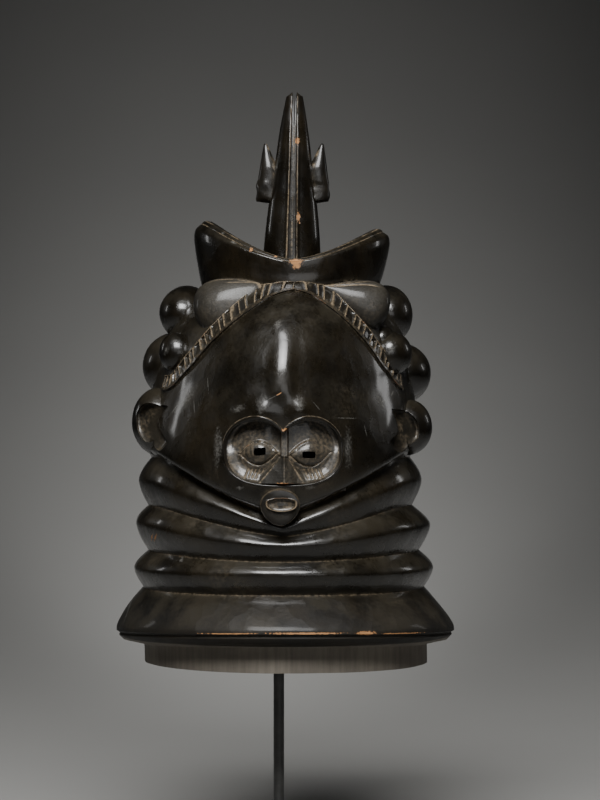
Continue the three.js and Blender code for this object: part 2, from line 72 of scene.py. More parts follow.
def cubic(share: Array, low: Array, high: Array, start: Array, end: Array) -> Array:
    """Cubic curve from low to high, whose slopes over the stretch are start and end."""
    square, cube = share * share, share * share * share
    return ((2 * cube - 3 * square + 1) * low + (cube - 2 * square + share) * start
            + (3 * square - 2 * cube) * high + (cube - square) * end)


def through(rows: Rows, position: Array, column: int = 1) -> Array:
    """Reads a smooth curve through rows of positions and values.

    The curve is a cubic between each two rows. Its slope at a row is the harmonic mean of the
    slopes on both sides, or level where these differ in sign, so it never overshoots.

    Args:
        rows: Rows of one position and its values, in rising order of position.
        position: Where the curve is read; beyond the rows the end values hold.
        column: Which value of the rows is read.

    Returns:
        The values, in the shape of position.
    """
    table = np.asarray(rows, dtype=float)
    at, value = table[:, 0], table[:, column]
    span = np.diff(at)
    rise = np.diff(value) / span
    before, after = rise[:-1], rise[1:]
    same = before * after > 0
    total = np.where(same, before + after, 1.0)
    slope = np.concatenate([rise[:1], np.where(same, 2 * before * after / total, 0.0), rise[-1:]])
    place = np.clip(position, at[0], at[-1])
    i = np.clip(np.searchsorted(at, place, side="right") - 1, 0, len(span) - 1)
    share = (place - at[i]) / span[i]
    return cubic(share, value[i], value[i + 1], span[i] * slope[i], span[i] * slope[i + 1])


def ripple(points: Array, size: float, seed: int) -> Array:
    """Soft unevenness between about -1 and 1.

    It is the mean of eight sine waves whose directions and phases are drawn from the seed.

    Args:
        points: Places, with x, y and z last.
        size: Length of a wave, in the unit of the places.
        seed: Number that fixes the waves.

    Returns:
        One value for each place.
    """
    dice = np.random.default_rng(seed)
    directions = dice.normal(size=(8, 3)) * 2.2 / size
    phases = dice.uniform(0, 2 * np.pi, 8)
    return np.sin(points @ directions.T + phases).mean(axis=-1) * 1.8


def roughen(points: Array, deep: Value, size: float, seed: int, along: Sequence[float]) -> Array:
    """Moves points along a direction by a ripple of the given depth and size."""
    return points + (deep * ripple(points, size, seed))[..., None] * np.array(along)


def full_turn(count: int) -> Array:
    """Angles of evenly spaced points round a circle."""
    return np.arange(count) * 2 * np.pi / count


def stacked(x: Value, y: Value, z: Value) -> Array:
    """Points from their coordinates, whose shapes may differ."""
    return np.stack(np.broadcast_arrays(x, y, z), axis=-1)


def add_object(name: str, data: bpy.types.ID) -> bpy.types.Object:
    """Puts an object with the given data into the scene."""
    made = bpy.data.objects.new(name, data)
    bpy.context.scene.collection.objects.link(made)
    return made


def write_attribute(mesh: bpy.types.Mesh, name: str, values: Array) -> None:
    """Gives a mesh a plain value at each point."""
    attribute = mesh.attributes.new(name, "FLOAT", "POINT")
    attribute.data.foreach_set("value", values.astype(np.float32))


def shade(made: bpy.types.Object, degrees: float) -> bpy.types.Object:
    """Shades an object smooth, except at edges that bend by more than an angle."""
    made.data.shade_smooth()
    made.data.set_sharp_from_angle(angle=float(np.radians(degrees)))
    return made


class Joining(Enum):
    """How one closed solid is worked into another."""

    ADD = "UNION"
    CUT = "DIFFERENCE"


@dataclass
class Shell:
    """Closed surface: points in millimetres, height above the mask's rim, and its faces.

    Residue and dryness are shares from 0 to 1 at each point, or None where there is none; the
    dryness is partly dry wood and partly painted sheen. A residue below zero marks a pit, which the
    material paints dark as painted shade. How matt it is holds for the whole surface.
    """

    points: Array
    quads: Array
    triangles: Array
    residue: Array | None = None
    dryness_and_sheen: Array | None = None
    matt: float = 0.0

    @classmethod
    def from_rings(cls, rings: Array, first: Sequence[float] | None = None,
                   last: Sequence[float] | None = None, residue: Array | None = None,
                   dryness_and_sheen: Array | None = None) -> "Shell":
        """Joins rings of equal point counts into a tube and closes each end with a point.

        Args:
            rings: Array of rings by points by coordinates.
            first: Point that closes the first ring, by itself the ring's middle.
            last: Point that closes the last ring, likewise.
            residue: Share of residue at each point of the rings.
            dryness_and_sheen: Share of dryness, dry wood and painted sheen, at each point of the
                rings.

        Returns:
            The closed shell, facing outwards.
        """
        rows, count, _ = rings.shape
        grid = np.arange(rows * count).reshape(rows, count)
        low, high = grid[:-1], grid[1:]
        quads = np.stack([low, np.roll(low, -1, 1), np.roll(high, -1, 1), high], axis=-1)
        foot = np.full(count, rows * count)
        start = np.stack([foot, np.roll(grid[0], -1), grid[0]], axis=-1)
        end = np.stack([foot + 1, grid[-1], np.roll(grid[-1], -1)], axis=-1)
        tips = [ring.mean(axis=0) if tip is None else tip
                for ring, tip in ((rings[0], first), (rings[-1], last))]
        points = np.concatenate([rings.reshape(-1, 3), tips])
        marks = [None if mark is None else np.append(mark.ravel(), [0.0, 0.0])
                 for mark in (residue, dryness_and_sheen)]
        return cls(points, quads.reshape(-1, 4), np.concatenate([start, end]), *marks).facing_out()

    @classmethod
    def from_slab(cls, front: Array, back: Array, residue: Array, dryness_and_sheen: Array) -> "Shell":
        """Joins two open grids of the same size into a slab by a band round their borders.

        Args:
            front: Array of rows by columns by coordinates.
            back: The other side of the slab, in the same order.
            residue: Share of residue at each point of the front.
            dryness_and_sheen: Share of dryness, dry wood and painted sheen, at each point of the
                front.

        Returns:
            The closed shell, facing outwards.
        """
        rows, columns, _ = front.shape
        grid = np.arange(rows * columns).reshape(rows, columns)
        corners = [grid[:-1, :-1], grid[:-1, 1:], grid[1:, 1:], grid[1:, :-1]]
        near = np.stack(corners, axis=-1).reshape(-1, 4)
        far = near[:, ::-1] + rows * columns
        border = np.concatenate([grid[0, :-1], grid[:-1, -1], grid[-1, :0:-1], grid[:0:-1, 0]])
        ahead = np.roll(border, -1)
        over = rows * columns
        edge = np.stack([ahead, border, border + over, ahead + over], axis=-1)
        points = np.concatenate([front.reshape(-1, 3), back.reshape(-1, 3)])
        none = np.empty((0, 3), dtype=int)
        marks = [np.concatenate([mark.ravel(), np.zeros(over)]) for mark in (residue, dryness_and_sheen)]
        return cls(points, np.concatenate([near, far, edge]), none, *marks).facing_out()

    def facing_out(self) -> "Shell":
        """Turns all faces over if the enclosed volume, summed over the faces, is negative."""
        q, t = self.quads, self.triangles
        corners = self.points[np.concatenate([q[:, :3], q[:, [0, 2, 3]], t])]
        volume = np.einsum("ij,ij->i", corners[:, 0], np.cross(corners[:, 1], corners[:, 2])).sum()
        if volume < 0:
            return replace(self, quads=q[:, ::-1], triangles=t[:, ::-1])
        return self

    def to_object(self, name: str) -> bpy.types.Object:
        """Makes a Blender mesh object, in metres and at its height above the ground.

        Args:
            name: Name of the object and its mesh.

        Returns:
            The object, linked to the scene.
        """
        mesh = bpy.data.meshes.new(name)
        points = (self.points + [0, 0, RIM_HEIGHT]) * MILLIMETRE
        corners = np.concatenate([self.quads.ravel(), self.triangles.ravel()]).astype(np.int32)
        quad_starts = np.arange(len(self.quads)) * 4
        triangle_starts = len(self.quads) * 4 + np.arange(len(self.triangles)) * 3
        starts = np.concatenate([quad_starts, triangle_starts]).astype(np.int32)
        mesh.vertices.add(len(points))
        mesh.vertices.foreach_set("co", points.ravel())
        mesh.loops.add(len(corners))
        mesh.loops.foreach_set("vertex_index", corners)
        mesh.polygons.add(len(starts))
        mesh.polygons.foreach_set("loop_start", starts)
        mesh.update(calc_edges=True)
        none, matt = np.zeros(len(points)), np.full(len(points), self.matt)
        for key, values in (("residue", self.residue), ("dryness_and_sheen", self.dryness_and_sheen), ("matt", matt)):
            write_attribute(mesh, key, none if values is None else values)
        return add_object(name, mesh)


def work_in(solid: bpy.types.Object, shell: Shell, joining: Joining) -> None:
    """Joins a shell to a solid or cuts it out, and leaves the result in the solid's mesh.

    Args:
        solid: Object that is changed.
        shell: Closed shell, which is used up.
        joining: Whether it is added or cut.
    """
    tool = shell.to_object("tool")
    modifier = solid.modifiers.new("work_in", "BOOLEAN")
    modifier.operation = joining.value
    modifier.solver = "MANIFOLD"
    modifier.object = tool
    ready = solid.evaluated_get(bpy.context.evaluated_depsgraph_get())
    worked = bpy.data.meshes.new_from_object(ready)
    solid.modifiers.remove(modifier)
    bpy.data.objects.remove(tool)
    solid.data = worked


class Profile(Enum):
    """How the neck's radius runs from one level to the next."""

    STRAIGHT = "straight"
    SLOPE = "slope"
    RIDGE = "ridge"
    CREASE = "crease"

    def bulge(self, share: Array) -> Array:
        """Share of the change in radius that is reached at a share of the height.

        A ridge is rounded off as a sine and a crease starts as one minus a cosine, both mixed
        with a straight line; a slope is slightly full.

        Args:
            share: Share of the height between the levels.

        Returns:
            The share of the change in radius.
        """
        if self is Profile.RIDGE:
            return mix(share, np.sin(share * np.pi / 2), 0.8)
        if self is Profile.CREASE:
            return mix(share, 1 - np.cos(share * np.pi / 2), 0.8)
        return share ** 1.25 if self is Profile.SLOPE else share

    def steps(self) -> Array:
        """Shares of the height at which this profile has rows of points."""
        if self is Profile.STRAIGHT:
            return np.array([0.06, 0.5, 0.94, 1.0])
        count = 13 if self is Profile.SLOPE else 8
        return np.linspace(0, 1, count + 1)[1:]


@dataclass(frozen=True)
class Level:
    """Level of the neck: height at the side and in front, half width, reach in front.

    Its point is the form of the change in height towards the front: -1 for a wide even one, 0
    for a round dip under the chin and 1 for a pointed one.
    """

    side: float
    front: float
    width: float
    reach: float
    profile: Profile = Profile.STRAIGHT
    point: float = 0.0


def outline(angle: Array, width: Value, reach: Value, power: Value = 2.0) -> Array:
    """Distance from the axis to an outline of the given half width and reach.

    The outline is where the powers of x over width and y over reach add up to one. A power of
    2 gives an ellipse, and a smaller one a keel at each end.

    Args:
        angle: Angle from the front, towards the viewer's right.
        width: Half width.
        reach: Reach to the front or back.
        power: The power.

    Returns:
        The distances.
    """
    across = (np.abs(np.sin(angle)) / width) ** power
    along = (np.abs(np.cos(angle)) / reach) ** power
    return (across + along) ** (-1 / power)


@dataclass
class HeadForm:
    """The neck with its collar, flange and rings, and the head with its jaw and keel.

    Head and hollow are rows of height, half width, reach in front and reach behind. The midline is
    rows of height and distance to the right. The keel is the outline's power at the cheeks and at
    the forehead, and the heights between which it changes. A brow is a distance to the right, a
    height, a size and a swell. The ridge up the forehead is a swell and a half width; its levels
    say where it starts, is full, begins to fade and ends. A knife ripple is a depth, a size and
    the number that fixes its waves.
    """

    levels: tuple[Level, ...] = (
        Level(0, 0, 106.6, 108),
        Level(13.5, 20, 106.6, 108, point=-1),
        Level(17.0, 24.0, 122.0, 124.5, point=-1),
        Level(20.6, 27.6, 125.6, 127.6, point=-1),
        Level(22.4, 29.4, 124.8, 127.0, point=-1),
        Level(24.0, 31.0, 127.5, 129.4, point=-1),
        Level(27.0, 33.6, 127.2, 129.0, point=-1),
        Level(56.5, 57, 106, 107, Profile.SLOPE),
        Level(71, 72.5, 113, 114, Profile.RIDGE),
        Level(84, 81, 102, 106.5, Profile.CREASE),
        Level(104, 93, 111, 113, Profile.RIDGE),
        Level(118, 99, 99.5, 106.5, Profile.CREASE, 0.5),
        Level(137, 104, 107, 111, Profile.RIDGE, 1.0),
    )
    sag_angle: float = np.radians(65)
    even_power: float = 1.3
    rim_tilt: float = 3.0
    jaw_side: float = 158.0
    jaw_front: float = 117.0
    jaw_point: float = 0.5
    jaw_undercut: float = 4.0
    jaw_crease: tuple[float, float] = (97.5, 103.0)
    jaw_rounding: float = 1.6
    crown: float = 296.0
    head: Rows = (
        (108, 99, 112, 100), (135, 100, 118, 101), (160, 101, 122, 103), (190, 101, 124, 106),
        (215, 97, 122, 107), (245, 89, 111, 101), (268, 76, 91, 87), (284, 60, 66, 67),
        (294, 46, 46, 50),
    )
    midline: Rows = (
        (0, 0.5), (25, 0), (50, -1.3), (72, -1.1), (100, -1.3), (115, -3.7), (122, -4),
        (180, -2.7), (265, 1.5), (290, 4.2), (340, 5.4), (432, 7),
    )
    keel: tuple[float, float, float, float] = (2.05, 1.58, 150.0, 215.0)
    hollow: Rows = (
        (0, 92, 92, 92), (40, 91, 92, 93), (120, 88, 95, 90), (165, 87, 99, 91),
        (205, 86, 101, 91), (232, 76, 88, 80), (250, 54, 62, 58),
    )
    hollow_levels: tuple[float, ...] = (
        250, 243, 233, 222, 210, 195, 175, 150, 120, 80, 45, 20, 3, 0,
    )
    hollow_top: float = 258.0
    knife: tuple[tuple[float, float, int], ...] = ((0.32, 26, 3), (0.14, 9, 5))
    brows: Rows = ((-15.8, 189.8, 7.8, 3.2), (10.8, 190.8, 7.6, 3.2), (-2.0, 250.0, 6.0, 0.5))
    ridge: tuple[float, float] = (2.3, 8.5)
    ridge_levels: tuple[float, float, float, float] = (190, 206, 210, 256)
    jaw_rows: tuple[float, ...] = (0.0, 0.006, 0.016, 0.03, 0.05)
    head_rows: int = 64
    front_columns: int = 160
    back_columns: int = 56
    front_share: float = np.radians(82)

    def middle(self, height: Array) -> Array:
        """Distance of the carving's middle line to the right at a height."""
        return through(self.midline, height)

    def sag(self, angle: Array, point: float) -> Array:
        """Share of a level's change in height towards the front that is reached at an angle.

        It falls from one at the front: to zero at the sag angle, as a smoothstep for a round dip
        and as a power of 1.5 for a pointed one, or evenly to the side, as a power of the cosine.

        Args:
            angle: Angle from the front.
            point: -1 for an even change, 0 for a round dip, 1 for a pointed one.

        Returns:
            The shares.
        """
        turn = np.abs(np.arctan2(np.sin(angle), np.cos(angle)))
        pointed = np.clip(1 - turn / self.sag_angle, 0, 1) ** 1.5
        even = np.clip(np.cos(turn), 0, 1) ** self.even_power
        return mix(1 - smooth(0, self.sag_angle, turn), even if point < 0 else pointed, abs(point))

    def jaw(self, angle: Array) -> Array:
        """Height of the jaw's edge at an angle from the front."""
        return mix(self.jaw_side, self.jaw_front, self.sag(angle, self.jaw_point))

    def keel_power(self, height: Array) -> Array:
        """Power of the head's outline in front: almost an ellipse low down, keeled above."""
        low, high, start, end = self.keel
        return mix(low, high, smooth(start, end, height))

    def head_radius(self, angle: Array, height: Array) -> Array:
        """Distance from the axis to the head: an ellipse behind, keeled in front."""
        width, front, back = (through(self.head, height, column) for column in (1, 2, 3))
        return np.where(np.cos(angle) > 0, outline(angle, width, front, self.keel_power(height)),
                        outline(angle, width, back))

    def brow_swell(self, x: Array, height: Array) -> Array:
        """How far the face swells out: a bell about each brow, and a flat ridge up the forehead."""
        proud, wide = self.ridge
        foot, full, fade, end = self.ridge_levels
        beside = np.exp(-((x - self.middle(height)) / wide) ** 4)
        rising = smooth(foot, full, height)
        ridge = proud * beside * np.clip((end - height) / (end - fade), 0, 1) * rising
        return ridge + sum(swell * bell(np.hypot(x - across, height - level), size)
                           for across, level, size, swell in self.brows)

    def face_depth(self, x: Array, height: Array) -> Array:
        """How far back the front of the head lies at a place x across and at a height."""
        power = self.keel_power(height)
        width, front = through(self.head, height, 1), through(self.head, height, 2)
        across = np.clip(np.abs(x - self.middle(height)) / width, 0, 0.999)
        return -front * (1 - across ** power) ** (1 / power) - self.brow_swell(x, height)

    def place(self, angle: Value, radius: Value, height: Value) -> Array:
        """Point at an angle from the front, a distance from the axis and a height."""
        x = np.sin(angle) * radius + self.middle(height)
        return stacked(x, -np.cos(angle) * radius, height)

    def axis(self, height: float) -> Point:
        """Point of the carving's middle line at a height."""
        return float(self.middle(height)), 0.0, height

    def angles(self) -> Array:
        """Angles round the head, close together in front of the ears and wider behind them."""
        front = np.linspace(-self.front_share, self.front_share, self.front_columns)
        back = np.linspace(front[-1], 2 * np.pi + front[0], self.back_columns + 2)
        return np.concatenate([front, back[1:-1]])

    def neck_rings(self, angle: Array) -> Array:
        """Rings from the collar's foot up to the crease under the jaw.

        Between two levels the height runs evenly and the radius by the profile's bulge. Each
        corner between straight stretches is then rounded by taking half of it and a quarter of
        the rings on both sides.

        Args:
            angle: Angles round the neck.

        Returns:
            Rings of heights and radii.
        """
        heights = [self.rim_tilt * (1 - np.sin(angle)) / 2]
        radii = [outline(angle, self.levels[0].width, self.levels[0].reach)]
        sharp = []
        for low, high in zip(self.levels, self.levels[1:]):
            for share in high.profile.steps():
                dips = [mix(v.side, v.front, self.sag(angle, v.point)) for v in (low, high)]
                reach = [outline(angle, v.width, v.reach) for v in (low, high)]
                heights.append(mix(*dips, share))
                radii.append(mix(*reach, high.profile.bulge(share)))
            if high.profile is Profile.STRAIGHT or low.profile is Profile.STRAIGHT:
                sharp.append(len(heights) - 1)
        last = self.levels[-1]
        top = mix(last.side, last.front, self.sag(angle, last.point))
        for share in Profile.CREASE.steps():
            heights.append(mix(top, self.jaw(angle) - self.jaw_undercut, share))
            ends = outline(angle, last.width, last.reach), outline(angle, *self.jaw_crease)
            radii.append(mix(*ends, Profile.CREASE.bulge(share)))
        rings = np.stack([np.array(heights), np.array(radii)], axis=-1)
        rounded = rings.copy()
        for row in sharp[:-1]:
            rounded[row] = rings[row] / 2 + (rings[row - 1] + rings[row + 1]) / 4
        return rounded

    def shell(self) -> Shell:
        """Closed shell of neck, head and the hollow inside.

        Outside, the head's rings run from the jaw to the crown, close together at the jaw. Small
        ripples of the knife are added to the radius. Inside, plain rings run back down to the
        rim.

        Returns:
            The shell.
        """
        angle = self.angles()
        neck = self.neck_rings(angle)
        share = np.concatenate([self.jaw_rows, np.linspace(0.07, 1, self.head_rows)])[:, None]
        height = mix(self.jaw(angle), self.head[-1][0], share ** 0.93)
        drop = self.jaw_rounding * np.exp(-(height - self.jaw(angle)) / 1.4)
        heights = np.concatenate([neck[..., 0], height])
        radii = np.concatenate([neck[..., 1], self.head_radius(angle, height) - drop])
        outside = self.place(angle, radii, heights)
        radii = radii + self.brow_swell(outside[..., 0], heights) * (outside[..., 1] < 0)
        knife = sum(deep * ripple(outside, size, seed) for deep, size, seed in self.knife)
        collar = 0.35 * ripple(outside, 30, 8) * (1 - smooth(12, 18, heights))
        outside = self.place(angle, radii + knife + collar, heights)
        levels = np.array(self.hollow_levels, dtype=float)[:, None]
        width, front, back = (through(self.hollow, levels, column) for column in (1, 2, 3))
        wall = outline(angle, width, np.where(np.cos(angle) > 0, front, back))
        inside = stacked(np.sin(angle) * wall, -np.cos(angle) * wall, levels)
        inside[-1, :, 2] = heights[0] + 0.6
        rings = np.concatenate([inside, outside])
        return Shell.from_rings(rings, [0, 0, self.hollow_top], self.axis(self.crown))


@dataclass
class HairlineBand:
    """Woven band along the hairline: a plain strip below, rungs with pits between them above.

    The hairline and the band's height are rows of degrees from the front and millimetres. The
    spacing of the rungs is that in the middle and that at the sides.
    """

    form: HeadForm
    hairline: Rows = (
        (0, 277.6), (4, 276.5), (9, 274), (14.5, 269.5), (24.5, 256), (36, 238), (48.5, 218),
        (63, 204.5), (180, 204.5),
    )
    turn: float = np.radians(2.6)
    height: Rows = (
        (0, 5.5), (12, 11.4), (22, 20.5), (28, 19.3), (38, 17.5), (50, 15.5), (60, 11), (180, 10),
    )
    end: float = np.radians(68)
    spacing: tuple[float, float] = (8.6, 6.7)
    rung: float = 0.8
    proud: float = 2.0
    pit: float = 2.5
    sunk: float = 4.0
    along: int = 620
    across: int = 21
    evened: int = 25

    def hairline_height(self, angle: Array) -> Array:
        """Height of the hairline, the band's lower edge, at an angle from the front."""
        return through(self.hairline, np.degrees(np.abs(angle - self.turn)))

    def tall(self, angle: Array) -> Array:
        """How tall the band is at an angle from the front."""
        return through(self.height, np.degrees(np.abs(angle - self.turn)))

    def shell(self) -> Shell:
        """Slab that lies on the head along the hairline.

        The columns are evenly spaced along the middle of the band. A row is a distance square to
        it, measured on the head.

        Returns:
            The shell.
        """
        at, angle, level, tall = self.path()
        slope = np.pad(np.gradient(level, at), self.evened // 2, mode="edge")
        slope = np.convolve(slope, np.ones(self.evened) / self.evened, mode="valid")
        steep = np.arcsin(np.clip(slope, -0.93, 0.93))
        share = np.linspace(-1, 1, self.across)[:, None]
        half = tall * np.cos(steep) / 2 + 0.4
        place = angle - share * half * np.sin(steep) / self.form.head_radius(angle, level)
        height = level + share * half * np.cos(steep)
        lift, residue = self.weave(at, angle, share)
        base = self.form.head_radius(place, height)
        front = self.form.place(place, base + lift - 0.3 * (np.abs(share) > 0.99), height)
        back = self.form.place(place, base - self.sunk, height)
        return Shell.from_slab(front, back, residue, np.zeros_like(residue))

    def path(self) -> tuple[Array, ...]:
        """Middle of the band: length along it, angle from the front, height, and its tallness."""
        fine = np.linspace(-self.end, self.end, 1400)
        tall = self.tall(fine)
        middle = self.hairline_height(fine) + tall / 2
        points = self.form.place(fine, self.form.head_radius(fine, middle), middle)
        stretches = np.linalg.norm(np.diff(points, axis=0), axis=1)
        length = np.concatenate([[0], np.cumsum(stretches)])
        at = np.linspace(0, length[-1], self.along)
        return at, *(np.interp(at, length, value) for value in (fine, middle, tall))

    def weave(self, at: Array, angle: Array, share: Array) -> tuple[Array, Array]:
        """How far the band stands out from the head, and the residue on it, below zero in the pits,
        where it stands for painted shade.

        Rungs stand where the length from the middle, divided by the spacing, is a whole number;
        the spacing narrows away from the middle. A pit is the product of two soft steps, one
        along and one across.

        Args:
            at: Length along the band at each column.
            angle: Angle from the front at each column.
            share: Place across the band at each row, from -1 to 1.

        Returns:
            Both, by row and column.
        """
        middle = float(self.turn)
        from_middle = at - np.interp(middle, angle, at)
        spacing = mix(*self.spacing, smooth(0, 34, np.abs(from_middle)))
        count = np.cumsum(np.gradient(at) / spacing)
        count = count - np.interp(middle, angle, count)
        wander = 0.16 * np.sin(count * 2.3 + 0.5) + 0.1 * np.sin(count * 5.1)
        lean = 0.13 * share * np.sign(from_middle)
        to_rung = np.abs((count + wander + lean + 0.5) % 1.0 - 0.5) * spacing
        ends = smooth(0, 6, at) * smooth(0, 6, at[-1] - at)
        uneven = 0.5 * np.sin(at * 0.9) + 0.4 * np.sin(at * 0.37 + 1)
        low_edge = -0.52 + 0.08 * uneven
        inside = smooth(low_edge - 0.06, low_edge + 0.12, share) * smooth(0.86, 0.66, share)
        pits = smooth(self.rung, self.rung + 0.9, to_rung) * inside
        worn = 0.7 + 0.3 * np.sin(count * 1.7 + 2)
        rim = smooth(1.0, 0.9, np.abs(share))
        lift = ends * rim * (self.proud - self.pit * pits * worn) + 0.12 * uneven * rim
        lift += 0.5 * ends * bell(share - 0.86, 0.08)
        rungs = bell(to_rung, self.rung * 1.15) * smooth(low_edge - 0.22, low_edge, share)
        residue = np.maximum(0.85 * rungs, 0.75 * bell(share - 0.9, 0.11))
        residue = np.maximum(residue, 0.5 * bell(share + 0.97, 0.05)) * mix(0.75, 1.0, ends)
        ragged = smooth(-0.9, 0.5, ripple(stacked(at, 6 * share, 0.0), 4, 44))
        # Below zero in the pits: painted shade, laid dark into the recesses by the material.
        return lift, np.where(residue < 0.25, 0.3 - 0.85 * pits * ends * ragged, residue)

    def film(self, points: Array) -> Array:
        """Residue on the bare skin: thick on the scalp above the band, thin and patchy elsewhere.

        Args:
            points: Places on the head and neck.

        Returns:
            The share of residue at each place.
        """
        angle = np.arctan2(points[:, 0] - self.form.middle(points[:, 2]), -points[:, 1])
        band = self.hairline_height(angle) + self.tall(angle)
        scalp = smooth(-1.0, 2.0, points[:, 2] - band)
        patches = 0.14 * smooth(-0.3, 0.6, ripple(points, 34, 41))
        patches += 0.06 * smooth(0, 0.5, ripple(points, 11, 42))
        flange = smooth(58, 50, points[:, 2]) * smooth(22, 26, points[:, 2])
        streaks = -0.04 + 0.2 * ripple(points * [0.3, 0.3, 4.0], 12, 43)
        below = smooth(262, 200, points[:, 2])
        skin = mix(0.08, patches + 0.05, below)
        return mix(np.maximum(skin * (1 - flange), flange * streaks), 0.2, scalp)


def egg(middle: Array, size: Point, turn: float, uneven: float, seed: int,
        around: int = 44, steps: int = 30) -> Shell:
    """Egg shape: an ellipsoid given by two angles, turned about the vertical.

    Args:
        middle: Its middle.
        size: Half length, half thickness and half height.
        turn: Turn of the length from the x direction, in degrees.
        uneven: How far the knife's facets stand in or out.
        seed: Number that fixes the unevenness.
        around: Columns of points.
        steps: Rings of points.

    Returns:
        The closed shell.
    """
    tilt = (np.arange(steps) + 1)[:, None] * np.pi / (steps + 1)
    angle = full_turn(around)
    ball = stacked(np.sin(tilt) * np.cos(angle), np.sin(tilt) * np.sin(angle), -np.cos(tilt))
    c, s = np.cos(np.radians(turn)), np.sin(np.radians(turn))
    turned = ball * np.array(size) @ np.array([[c, s, 0], [-s, c, 0], [0, 0, 1.0]])
    scale = 1 + uneven * ripple(turned, 17, seed)[..., None] / min(size)
    top = np.array([0, 0, size[2]])
    return Shell.from_rings(turned * scale + middle, middle - top, middle + top)


@dataclass(frozen=True)
class Fan:
    """Front hair lobe that fans out from a narrow root at the parting to a round end.

    A strand is a groove out from the root: turn from the top towards the front in degrees, depth,
    half width, and the share of the way at which it ends.
    """

    root: Point
    end: Point
    half_height: float
    half_thickness: float
    blunt: float
    strands: Rows
    steps: int = 72
    around: int = 150

    def shell(self) -> Shell:
        """Carries an oval section from the root to the round end.

        The section is a little boxy near the root and round at the end. Its size is the share of
        the way to the power of blunt, times a round end. The strands are bell-shaped grooves at a
        fixed turn round the section, so they close up towards the root, and residue lies in them.

        Returns:
            The closed shell.
        """
        root, end = np.array(self.root), np.array(self.end)
        path = end - root
        out = np.cross(path, [0, 0, 1.0])
        out *= -np.sign(out[1]) / np.linalg.norm(out)
        up = np.cross(out, path)
        up *= np.sign(up[2]) / np.linalg.norm(up)
        share = (1 - np.cos(np.pi * np.arange(1, self.steps) / self.steps))[:, None] / 2
        full = share ** self.blunt * np.sqrt(1 - share ** 3.2)
        full = full / full.max()
        turn = full_turn(self.around)
        angle = turn - 0.35 * np.sin(turn - 0.6)
        depth, residue = np.zeros((2, len(share), self.around))
        for place, deep, half, ends in self.strands:
            across = angle - np.radians(place) - 0.1 * np.sin(share * 5 + place)
            across = (across + np.pi) % (2 * np.pi) - np.pi
            line = bell(across * self.half_height * full, half) * smooth(ends, ends - 0.16, share)
            depth = np.maximum(depth, deep * line * smooth(0.02, 0.14, share))
            residue = np.maximum(residue, line)
        residue = np.maximum(0.9 * residue, 0.9 * smooth(0.05, 0.015, share))
        below = smooth(0.5, 0.0, np.cos(angle)) * (np.sin(angle) > -0.5)
        residue = np.maximum(residue, mix(0.16, 0.24, below) * smooth(0.95, 0.7, share))
        # Pale dry specks on the fan's upper front, partly a painted sheen.
        dryness_and_sheen = 0.22 * smooth(0.2, 0.7, np.cos(angle - 0.7)) * smooth(0.95, 0.6, share)
        square = mix(0.86, 1.0, smooth(0.35, 0.85, share))
        rise, reach = (np.sign(v) * np.abs(v) ** square for v in (np.cos(angle), np.sin(angle)))
        rings = (root + path * share[..., None]
                 + up * (rise * (self.half_height * full - depth))[..., None]
                 + out * (reach * 0.94 * (self.half_thickness * full - depth))[..., None])
        rings = roughen(rings, 0.45, 20, 21, out)
        return Shell.from_rings(rings, root, end, residue, dryness_and_sheen * (residue < 0.4))


@dataclass(frozen=True)
class Lobe:
    """Egg-shaped hair lobe."""

    middle: Point
    size: Point
    turn: float

    def shell(self, uneven: float, seed: int) -> Shell:
        """The lobe's surface, with the knife's unevenness."""
        return egg(np.array(self.middle), self.size, self.turn, uneven, seed)


@dataclass
class Hair:
    """Two tiers of hair lobes round the head, with two fans in front."""

    fans: tuple[Fan, ...] = (
        Fan((-17, -65.5, 281), (-59.5, -43.7, 251.6), 26, 24, 0.72, (
            (2, 0.5, 0.7, 0.62), (11, 0.7, 0.8, 0.7), (20, 0.5, 0.6, 0.6), (28, 0.8, 0.8, 0.66),
            (38, 0.4, 0.6, 0.42),
        )),
        Fan((28, -63.6, 281), (70.8, -40, 258.8), 21, 23.5, 1.0, (
            (-4, 0.5, 0.7, 0.6), (7, 0.6, 0.7, 0.62), (17, 0.5, 0.6, 0.5), (26, 0.6, 0.7, 0.66),
            (46, 1.5, 1.1, 0.74), (60, 0.4, 0.6, 0.34),
        )),
    )
    lobes: tuple[Lobe, ...] = (
        Lobe((-75, 14, 263), (33, 20.5, 21), 83),
        Lobe((76, 14, 262), (33, 20.5, 22.5), 97),
        Lobe((-80.8, -42, 232.5), (13.8, 12.4, 14.6), 118),
        Lobe((80, -43, 231.5), (17, 13, 16), 62),
        Lobe((71.5, -44, 241.5), (11, 10, 11), 62),
        Lobe((-84.5, 20, 223), (39, 24, 25.5), 83),
        Lobe((86.5, 20, 217), (39, 24, 23.5), 97),
        Lobe((-36, 69, 263), (38, 20, 21), 28),
        Lobe((39, 69, 262), (38, 20, 21), 152),
        Lobe((-43, 85, 214), (46, 24, 29), 27),
        Lobe((44, 85, 212), (46, 24, 28), 153),
    )

    def front(self) -> list[Shell]:
        """The two fans."""
        return [fan.shell() for fan in self.fans]

    def round_about(self) -> list[Shell]:
        """The egg-shaped lobes, each with a little unevenness of its own."""
        return [lobe.shell(uneven=0.35, seed=30 + i) for i, lobe in enumerate(self.lobes)]


